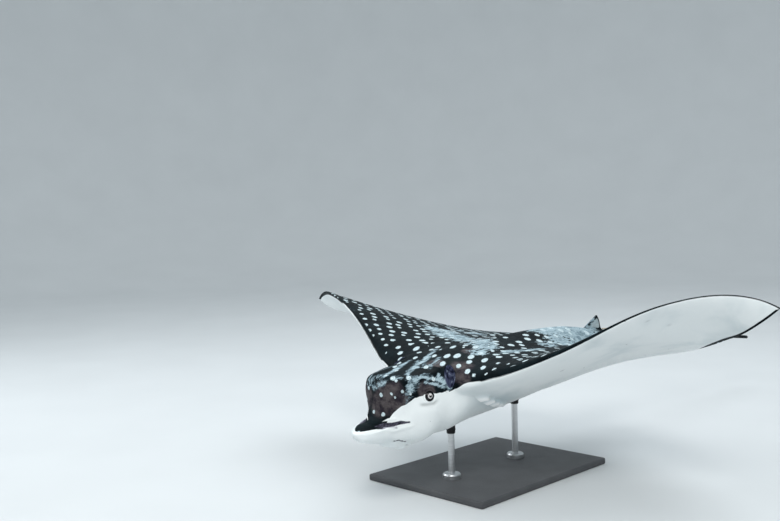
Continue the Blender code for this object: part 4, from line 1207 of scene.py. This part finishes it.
class SkinPaint(Paint):
    """The ray's bare skin, from fields laid on its points and a few noises that its layers share."""

    def __init__(self):
        super().__init__("ray_bare_skin", Specular_IOR_Level=0.05)
        self.flat = self.vector("flat")
        self.out, self.back, self.depth = self.split(self.vector("lie"))
        self.pit, self.crease, self.bright = self.split(self.vector("marks"))
        self.pale, self.brown, self.spot = self.split(self.vector("tint"))
        self.lattice, self.fin, self.line = self.split(self.vector("extra"))
        self.smoke, self.haze, self.shade = self.split(self.vector("soft"))
        drawn_out = self.scaled(self.flat, (1.0, 0.36, 1.0))
        self.broad = self.noise(drawn_out, 26, 4, 0.60, 0.6)
        self.fine = self.noise(drawn_out, 105, 4, 0.62, 0.9)
        self.finest = self.noise(self.flat, 420, 2)
        self.hair = self.noise(self.scaled(self.flat, (1.0, 0.22, 1.0)), 330, 3, 0.6, 0.3)

    def dark_side(self):
        """1 on the dark side, 0 on the white one; ragged on the head, clean on bill and wings."""
        on_head = self.step(self.back, 0.235, 0.19)
        on_bill = self.step(self.back, 0.105, 0.070)
        wobble = self.swing(self.noise(self.flat, 55, 3), self.step(on_head, 0, 1, 0.0007, 0.009))
        wobble = self.times(wobble, self.step(on_bill, 0, 1, 1.0, 0.45))
        return self.step(self.add(self.depth, wobble), -0.0006, 0.0006)

    def dark_skin(self):
        """Near-black back, and mottled brown face and shoulders."""
        dark = self.blend(self.broad, 0.42, 0.75, BACK_DARK, BACK_LIFT)
        cloud = self.noise(self.flat, 45, 3, 0.55, 0.2)
        face = self.blend(self.add(cloud, self.times(self.fine, 0.35)), 0.50, 0.86, FACE_DARK, FACE_GREY)
        return self.blend(self.add(self.brown, self.times(self.broad, 0.5)), 0.50, 0.85, dark, face)

    def patches(self, top):
        """Pale patches on the back, with short dark dashes through them."""
        patch = self.add(self.pale, self.swing(self.broad, 1.2), self.swing(self.fine, 1.1),
                         self.swing(self.hair, 1.3))
        streaks = self.add(self.fine, self.times(self.hair, 0.6))
        colour = self.blend(streaks, 0.62, 0.92, PALE_BLUE, PALE_LIGHT)
        dash = self.noise(self.scaled(self.flat, (1.0, 0.30, 1.0)), 170, 2, 0.5, 0.4)
        dash_share = self.times(self.step(dash, 0.56, 0.64), self.step(self.pale, 1.5, 0.9))
        return self.blend(patch, 0.46, 0.72, top, self.mix(dash_share, colour, BACK_LIFT))

    def mist(self, top):
        """Pale streaks along the head."""
        mist = self.add(self.haze, self.swing(self.broad, 1.3), self.swing(self.fine, 2.2),
                        self.swing(self.hair, 1.3))
        share = self.times(self.step(mist, 0.36, 0.98), self.step(self.haze, 0.10, 0.45))
        return self.mix(share, top, self.blend(mist, 0.60, 1.15, PALE_BLUE, PALE_LIGHT))

    def row_spots(self):
        """Share of white in the spots that stand in slanting, disordered rows over back and wings."""
        place = self.node("ShaderNodeVectorRotate",
                          {"Vector": self.join(self.out, self.back, 0.0), "Angle": ROW_TURN},
                          rotation_type="Z_AXIS").outputs[0]
        far, own = self.cells(place, SPOT_STEP, ROW_CHANCE)
        size, chance, _ = self.split(own)
        ragged = self.swing(self.noise(self.flat, 230, 2), 0.16)
        larger = self.step(self.lattice, 1.0, 0.5, 0.0, 0.055)
        radius = self.add(self.step(size, 0.02, 1.0, 0.165, 0.240), larger)
        share = self.step(self.add(far, ragged, self.times(radius, -1.0)), 0.030, -0.020)
        return self.times(share, self.step(self.add(chance, self.lattice), 0.99, 1.01),
                          self.step(self.depth, 0.006, 0.010))

    def spots(self, top):
        """Rows of spots, the placed spots of the head and shoulders, and the fin's pale middle."""
        ragged = self.add(self.spot, self.swing(self.noise(self.flat, 210, 2), 0.0042))
        spots = self.math("MAXIMUM", self.row_spots(), self.step(ragged, 0.0007, -0.0009))
        top = self.mix(spots, top, self.blend(self.finest, 0.35, 0.7, PALE_LIGHT, SPOT_WHITE))
        return self.blend(self.fin, -0.0012, 0.0012, top, self.mix(self.fine, PALE_BLUE, SPOT_WHITE))

    def belly(self):
        """White underside with soft grey clouds that are partly painted shade, painted shade round the gills,
        a painted highlight on the gill flaps, small freckles and streaked painted shade under the lip.
        """
        # soft grey clouds: uneven tone of the skin, partly painted shade
        cloud = self.noise(self.flat, 9, 3, 0.5, 0.3)
        belly = self.blend(cloud, 0.45, 0.85, BELLY_WHITE, BELLY_SHADE_GREY, 0.55)
        # painted shade round the gills
        belly = self.mix(self.times(self.shade, 0.8), belly, BELLY_SHADE_GREY)
        # painted highlight: the gill flaps lighter than the belly round them
        belly = self.blend(self.bright, 0.15, 0.8, belly, GILL_WHITE_HIGHLIGHT)
        far, own = self.cells(self.join(self.out, self.back, 0.0), FRECKLE_STEP, 1.0)
        freckle = self.times(self.step(far, 0.040, 0.015), self.step(self.split(own)[0], 0.80, 0.82),
                             self.step(self.back, 0.30, 0.36))
        belly = self.mix(self.times(freckle, 0.45), belly, SHADE_AND_FRECKLE_GREY)
        # streaked painted shade under the lip
        smoke = self.add(self.smoke, self.swing(self.hair, 1.2))
        return self.blend(smoke, 0.25, 0.75, belly, LIP_SHADE_GREY, 0.85)

    def lines(self, colour):
        """Painted shade in the bill's slot and the groove, the cheek's dark fleck, then the painted shade of
        the creases.
        """
        ragged = self.add(self.line, self.swing(self.fine, 0.0012))
        # painted shade of the slot and groove, and the cheek's fleck
        slot_shade_and_fleck = self.blend(self.hair, 0.35, 0.65, SHADE_AND_FLECK_DARK, SHADE_AND_FLECK_GREY)
        colour = self.blend(ragged, 0.0007, -0.0009, colour, slot_shade_and_fleck)
        # painted shade in the creases
        return self.mix(self.crease, colour, SHADE_AND_FRECKLE_GREY)

    def lining(self, colour):
        """Blue-black inside of the spiracle: a blue lining darkened with painted shade, and painted
        highlights in paler bars.
        """
        bars = self.noise(self.scaled(self.flat, (1.0, 1.0, 0.12)), 170, 1, 0.4)
        lining = self.blend(bars, 0.36, 0.58, PIT_SHADE, PIT_BLUE)
        # painted highlights in the paler bars
        return self.mix(self.pit, colour, self.blend(bars, 0.62, 0.72, lining, PIT_HIGHLIGHT))


def skin_paint():
    """White belly, near-black back with rows of white spots, pale streaked patches, brown face."""
    paint = SkinPaint()
    dark_side = paint.dark_side()
    top = paint.spots(paint.mist(paint.patches(paint.dark_skin())))
    colour = paint.lining(paint.lines(paint.mix(dark_side, paint.belly(), top)))
    rough = paint.step(paint.fine, 0.2, 0.8, 0.46, 0.58)
    paint.coat(colour, paint.add(rough, paint.times(dark_side, -0.02), paint.times(paint.pit, -0.08)))
    ridges = paint.noise(paint.scaled(paint.flat, (0.35, 1.0, 1.0)), 190, 3, 0.5, 0.5)
    paint.bump(paint.add(paint.times(paint.finest, 0.55), paint.times(ridges, 0.8),
                         paint.times(paint.fine, 0.6)), 0.0007, 0.55)
    return paint.material


# ---------------------------------------------------------------- eyes and sting
IRIS, PUPIL = 0.0062, 0.0035
RING_DARK, RING_LIFT = (0.0015, 0.0018, 0.0022), (0.0035, 0.0042, 0.005)
IRIS_GREY, IRIS_WHITE, IRIS_RIM = (0.46, 0.44, 0.44), (0.80, 0.78, 0.77), (0.20, 0.19, 0.21)
PUPIL_BLACK = (0.002, 0.002, 0.003)
CORNEA = 0.0007
BALL_TURNS, BALL_STEPS = 64, 40


def eye_paint(name):
    """Black outer ring, pale flecked iris and a crescent pupil, from the ball's own coordinates."""
    paint = Paint(name, Specular_IOR_Level=0.15, Coat_Weight=0.22, Coat_Roughness=0.03)
    place = paint.vector("ball")
    back, up, out = paint.split(place)
    around = paint.length(back, up)
    fleck = paint.noise(place, 900, 3, 0.6)
    ring = paint.blend(fleck, 0.3, 0.7, RING_DARK, RING_LIFT)
    iris = paint.blend(fleck, 0.35, 0.65, IRIS_GREY, IRIS_WHITE)
    iris = paint.blend(around, 0.0046, 0.0066, iris, IRIS_RIM, 0.5)
    edge = paint.add(around, paint.swing(fleck, 0.0010))
    colour = paint.blend(edge, IRIS - 0.0003, IRIS + 0.0003, iris, ring)
    lid = paint.length(back, paint.add(up, -0.0026), 0.8)
    pupil = paint.times(paint.step(around, PUPIL + 0.0002, PUPIL - 0.0002), paint.step(lid, 0.0017, 0.0020),
                        paint.step(out, 0.0, 0.001))
    paint.coat(paint.mix(pupil, colour, PUPIL_BLACK), paint.step(fleck, 0.2, 0.8, 0.05, 0.11))
    return paint.material


def turn_profile(profile, steps):
    """Rings of points round a vertical axis, one ring for each (radius, height)."""
    angle = np.linspace(0, 2 * math.pi, steps, endpoint=False)
    return np.concatenate([np.stack([r * np.cos(angle), r * np.sin(angle), np.full(steps, h)], 1)
                           for r, h in profile])


def ring_faces(rings, steps, closed=False, inward=False):
    """Faces between rings of points; closed joins the last ring to the first."""
    faces = []
    for k in range(rings if closed else rings - 1):
        a, b = k * steps, (k + 1) % rings * steps
        for j in range(steps):
            j2 = (j + 1) % steps
            faces.append([a + j, b + j, b + j2, a + j2] if inward else [a + j, a + j2, b + j2, b + j])
    return faces


def build_eye(name, ball, opening, material):
    """An eyeball with a cornea that bulges a little."""
    turns = BALL_TURNS
    angle = np.linspace(0, 2 * math.pi, turns, endpoint=False)
    rings = []
    for polar in np.linspace(0, math.pi, BALL_STEPS + 1)[1:-1]:
        size = EYE_RADIUS + CORNEA * float(ease((0.55 - polar) / 0.45))
        r, out = size * math.sin(polar), size * math.cos(polar)
        rings.append(np.stack([r * np.sin(angle), r * np.cos(angle), np.full(turns, out)], 1))
    own = np.concatenate([*rings, [[0, 0, EYE_RADIUS + CORNEA], [0, 0, -EYE_RADIUS]]])
    faces = ring_faces(len(rings), turns, inward=True)
    front, rear = len(own) - 2, len(own) - 1
    last = (len(rings) - 1) * turns
    faces += [[front, j, (j + 1) % turns] for j in range(turns)]
    faces += [[rear, last + (j + 1) % turns, last + j] for j in range(turns)]
    points = own @ np.stack([opening.side, opening.up, opening.look]) + ball + PLACE
    obj = make_object(name, points, faces, material)
    store(obj, "ball", own)
    return obj


BARBS = 24
BARB_PARTS = ((0.0, 0.72), (0.35, 1.0), (0.45, 0.70), (0.75, 0.66))    # share of a barb, and half width
STING_SECTION = ((1.0, 0.25), (0.62, 0.72), (0.25, 0.96), (0, 0.84), (-0.25, 0.96), (-0.62, 0.72),
                 (-1.0, 0.25), (-0.6, 0.02), (0, 0.0), (0.6, 0.02))


def build_sting(material):
    """The barbed sting: grooved above, with teeth along both edges that point to its root."""
    rings = []
    for tooth in range(BARBS):
        for part, reach in BARB_PARTS:
            t = (tooth + part) / BARBS
            y = SPINE_Y + SPINE_LENGTH * t
            half = SPINE_HALF_WIDTH * (1 - 0.9 * t ** 1.5)
            half *= reach if 0.12 < t < 0.94 else 0.75
            low = float(back_z(y)) + 0.0011 + 0.006 * t
            thick = SPINE_THICK * (1 - 0.55 * t)
            rings.append([(half * a, y, low + thick * b) for a, b in STING_SECTION])
    count = len(STING_SECTION)
    points = np.array([p for ring in rings for p in ring]) + PLACE
    faces = ring_faces(len(rings), count)
    faces.append(list(range(count))[::-1])
    faces.append([(len(rings) - 1) * count + j for j in range(count)])
    return make_object("ray_sting", points, faces, material)


def sting_paint():
    """Ivory bone with a grain along it and brown stains."""
    paint = Paint("sting_bone", Specular_IOR_Level=0.4)
    place = paint.place()
    grain = paint.noise(paint.scaled(place, (900, 60, 900)), 1.0, 3)
    stain = paint.noise(place, 140, 2)
    colour = paint.blend(grain, 0.35, 0.7, (0.40, 0.33, 0.24), (0.66, 0.60, 0.48))
    colour = paint.blend(stain, 0.5, 0.75, colour, (0.16, 0.13, 0.10), 0.6)
    paint.coat(colour, paint.step(grain, 0.3, 0.7, 0.38, 0.55))
    paint.bump(grain, 0.0002, 0.6)
    return paint.material


# ---------------------------------------------------------------- stand
def stand_paint():
    """Charcoal powder coat with a fine orange-peel texture."""
    paint = Paint("stand_powder_coat", Specular_IOR_Level=0.4)
    place = paint.place()
    peel = paint.noise(place, 1400, 2, 0.5)
    cloud = paint.noise(place, 18, 3)
    colour = paint.blend(cloud, 0.3, 0.7, (0.060, 0.062, 0.066), (0.078, 0.080, 0.085))
    paint.coat(colour, paint.step(peel, 0.3, 0.7, 0.46, 0.58))
    paint.bump(peel, 0.00025, 0.7)
    return paint.material


def steel_paint():
    """Brushed stainless steel, brushed round the rods."""
    paint = Paint("stand_brushed_steel", Metallic=1.0)
    place = paint.place()
    brushed = paint.noise(paint.scaled(place, (30, 30, 1600)), 1.0, 3, 0.6)
    smear = paint.noise(place, 40, 3)
    colour = paint.blend(brushed, 0.3, 0.7, (0.48, 0.49, 0.50), (0.64, 0.65, 0.66))
    paint.coat(colour, paint.add(paint.step(brushed, 0.3, 0.7, 0.24, 0.36), paint.times(smear, 0.08)))
    paint.bump(brushed, 0.00008, 0.5)
    return paint.material


def rubber_paint():
    """Matt black rubber."""
    paint = Paint("stand_rubber", Specular_IOR_Level=0.3)
    place = paint.place()
    speck = paint.noise(place, 1800, 2)
    colour = paint.mix(speck, (0.010, 0.010, 0.011), (0.030, 0.030, 0.032))
    paint.coat(colour, paint.step(speck, 0.3, 0.7, 0.6, 0.8))
    paint.bump(speck, 0.0001, 0.6)
    return paint.material


SLEEVE_LENGTH, SLEEVE_DROP = 0.022, 0.010    # the sleeve's length, and how far below the rod's top
SLEEVE_WALL, SLEEVE_GAP = 0.0026, 0.0003
SLEEVE_STEPS = 48


def dress_stand(material):
    """A rubber sleeve with a raised band round the top of each rod, under the belly."""
    made = []
    for name in ("front", "rear"):
        low, high = (np.array(corner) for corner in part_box("stand_rod_" + name))
        top = high[2] - SLEEVE_DROP
        inner, outer = ROD_RADIUS + SLEEVE_GAP, ROD_RADIUS + SLEEVE_WALL
        bevel, band = outer - 0.0008, outer + 0.0009
        outline = ((inner, SLEEVE_LENGTH), (bevel, SLEEVE_LENGTH), (outer, 0.020), (outer, 0.0145),
                   (band, 0.0135), (band, 0.011), (outer, 0.010), (outer, 0.002), (bevel, 0.0), (inner, 0.0))
        profile = [(radius, top - down) for radius, down in outline]
        points = turn_profile(profile, SLEEVE_STEPS) + [*(0.5 * (low + high))[:2], 0]
        faces = ring_faces(len(profile), SLEEVE_STEPS, closed=True)
        made.append(make_object("stand_sleeve_" + name, points, faces, material))
    return made


# ---------------------------------------------------------------- surroundings
FLOOR_REACH, WALL_REACH, WALL_HEIGHT, FLOOR_STEPS = 6.0, 9.0, 7.0, 96


def add_floor():
    """A pale floor that curves up into a wall far round the stand."""
    paint = Paint("studio_floor", Specular_IOR_Level=0.2)
    place = paint.place()
    cloud = paint.noise(place, 2.5, 3)
    colour = paint.mix(cloud, (0.60, 0.62, 0.63), (0.66, 0.68, 0.69))
    paint.coat(colour, paint.step(cloud, 0.2, 0.8, 0.75, 0.9))
    bend = WALL_REACH - FLOOR_REACH
    profile = [(0.3, 0.0), (FLOOR_REACH, 0.0)]
    profile += [(FLOOR_REACH + bend * math.sin(a), bend * (1 - math.cos(a)))
                for a in np.linspace(0.1, math.pi / 2, 16)]
    profile.append((WALL_REACH, WALL_HEIGHT))
    faces = [list(range(FLOOR_STEPS)), *ring_faces(len(profile), FLOOR_STEPS, inward=True)]
    make_object("studio_floor", turn_profile(profile, FLOOR_STEPS), faces, paint.material)


LIGHT_TARGET = (0.1, 0.1, 0.25)
LIGHTS = (      # name, place, diameter, watts, colour
    ("key", (1.6, -2.4, 2.9), 1.6, 70, (1.0, 0.985, 0.96)),
    ("left", (-2.6, -1.6, 1.9), 1.8, 32, (0.93, 0.97, 1.0)),
    ("top", (-0.4, 1.6, 3.4), 2.4, 45, (0.92, 0.97, 1.0)))
SKY_COLOUR, SKY_STRENGTH = (0.86, 0.93, 0.97, 1), 0.95


def add_light(name, place, size, power, colour):
    """A round soft light that looks at the model."""
    lamp = bpy.data.lights.new(name, "AREA")
    lamp.shape = "DISK"
    lamp.size = size
    lamp.energy = power
    lamp.color = colour
    obj = bpy.data.objects.new(name, lamp)
    obj.location = place
    obj.rotation_euler = (Vector(LIGHT_TARGET) - Vector(place)).to_track_quat("-Z", "Y").to_euler()
    bpy.context.scene.collection.objects.link(obj)


def light_scene():
    """Three soft lights and a pale sky."""
    for light in LIGHTS:
        add_light(*light)
    world = bpy.data.worlds.new("studio")
    world.use_nodes = True
    sky = world.node_tree.nodes["Background"]
    sky.inputs["Color"].default_value = SKY_COLOUR
    sky.inputs["Strength"].default_value = SKY_STRENGTH
    bpy.context.scene.world = world


CAMERA_PLACE = (1.500, -1.843, 0.663)
CAMERA_HEADING, CAMERA_PITCH, CAMERA_ROLL = -44.92, -3.00, -1.35      # degrees
CAMERA_LENS = 43.85


def add_camera():
    """The camera that sees the model as it is meant to be seen."""
    heading, pitch, roll = (math.radians(a) for a in (CAMERA_HEADING, CAMERA_PITCH, CAMERA_ROLL))
    level = math.cos(pitch)
    forward = Vector((math.sin(heading) * level, math.cos(heading) * level, math.sin(pitch)))
    right = forward.cross(Vector((0, 0, 1))).normalized()
    up = right.cross(forward)
    tilted_right = right * math.cos(roll) + up * math.sin(roll)
    tilted_up = up * math.cos(roll) - right * math.sin(roll)
    turn = Matrix((tilted_right, tilted_up, -forward)).transposed()
    data = bpy.data.cameras.new("camera")
    data.lens = CAMERA_LENS
    data.sensor_width = 36.0
    camera = bpy.data.objects.new("camera", data)
    camera.matrix_world = Matrix.Translation(CAMERA_PLACE) @ turn.to_4x4()
    bpy.context.scene.collection.objects.link(camera)
    bpy.context.scene.camera = camera


# ---- build the scene
FLESH = ("head", "rostral_lobe", "trunk", "pectoral_fin_left", "pectoral_fin_right", "pelvic_fin_left",
         "pelvic_fin_right", "dorsal_fin", "tail_base", "tail_middle", "tail_end")


def main():
    """Build every piece, tie it to its node, and set the lights and the camera."""
    body, balls = build_skin(skin_paint())
    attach(body, "root")
    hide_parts(*FLESH)
    for name, (ball, opening) in balls.items():
        eye = build_eye("ray_" + name, ball, opening, eye_paint("ray_" + name))
        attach(eye, "root")
        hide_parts(name)
    sting = build_sting(sting_paint())
    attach(sting, "root")
    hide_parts("tail_spine")
    powder, steel, rubber = stand_paint(), steel_paint(), rubber_paint()
    for piece in dress_stand(rubber):
        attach(piece, "root")
    for name, finish in (("stand_base", powder), ("stand_rod_front", steel), ("stand_rod_rear", steel)):
        for slot in bpy.data.objects[name].material_slots:
            slot.material = finish
    add_floor()
    light_scene()
    add_camera()
    bpy.context.scene.view_settings.view_transform = "Standard"


main()
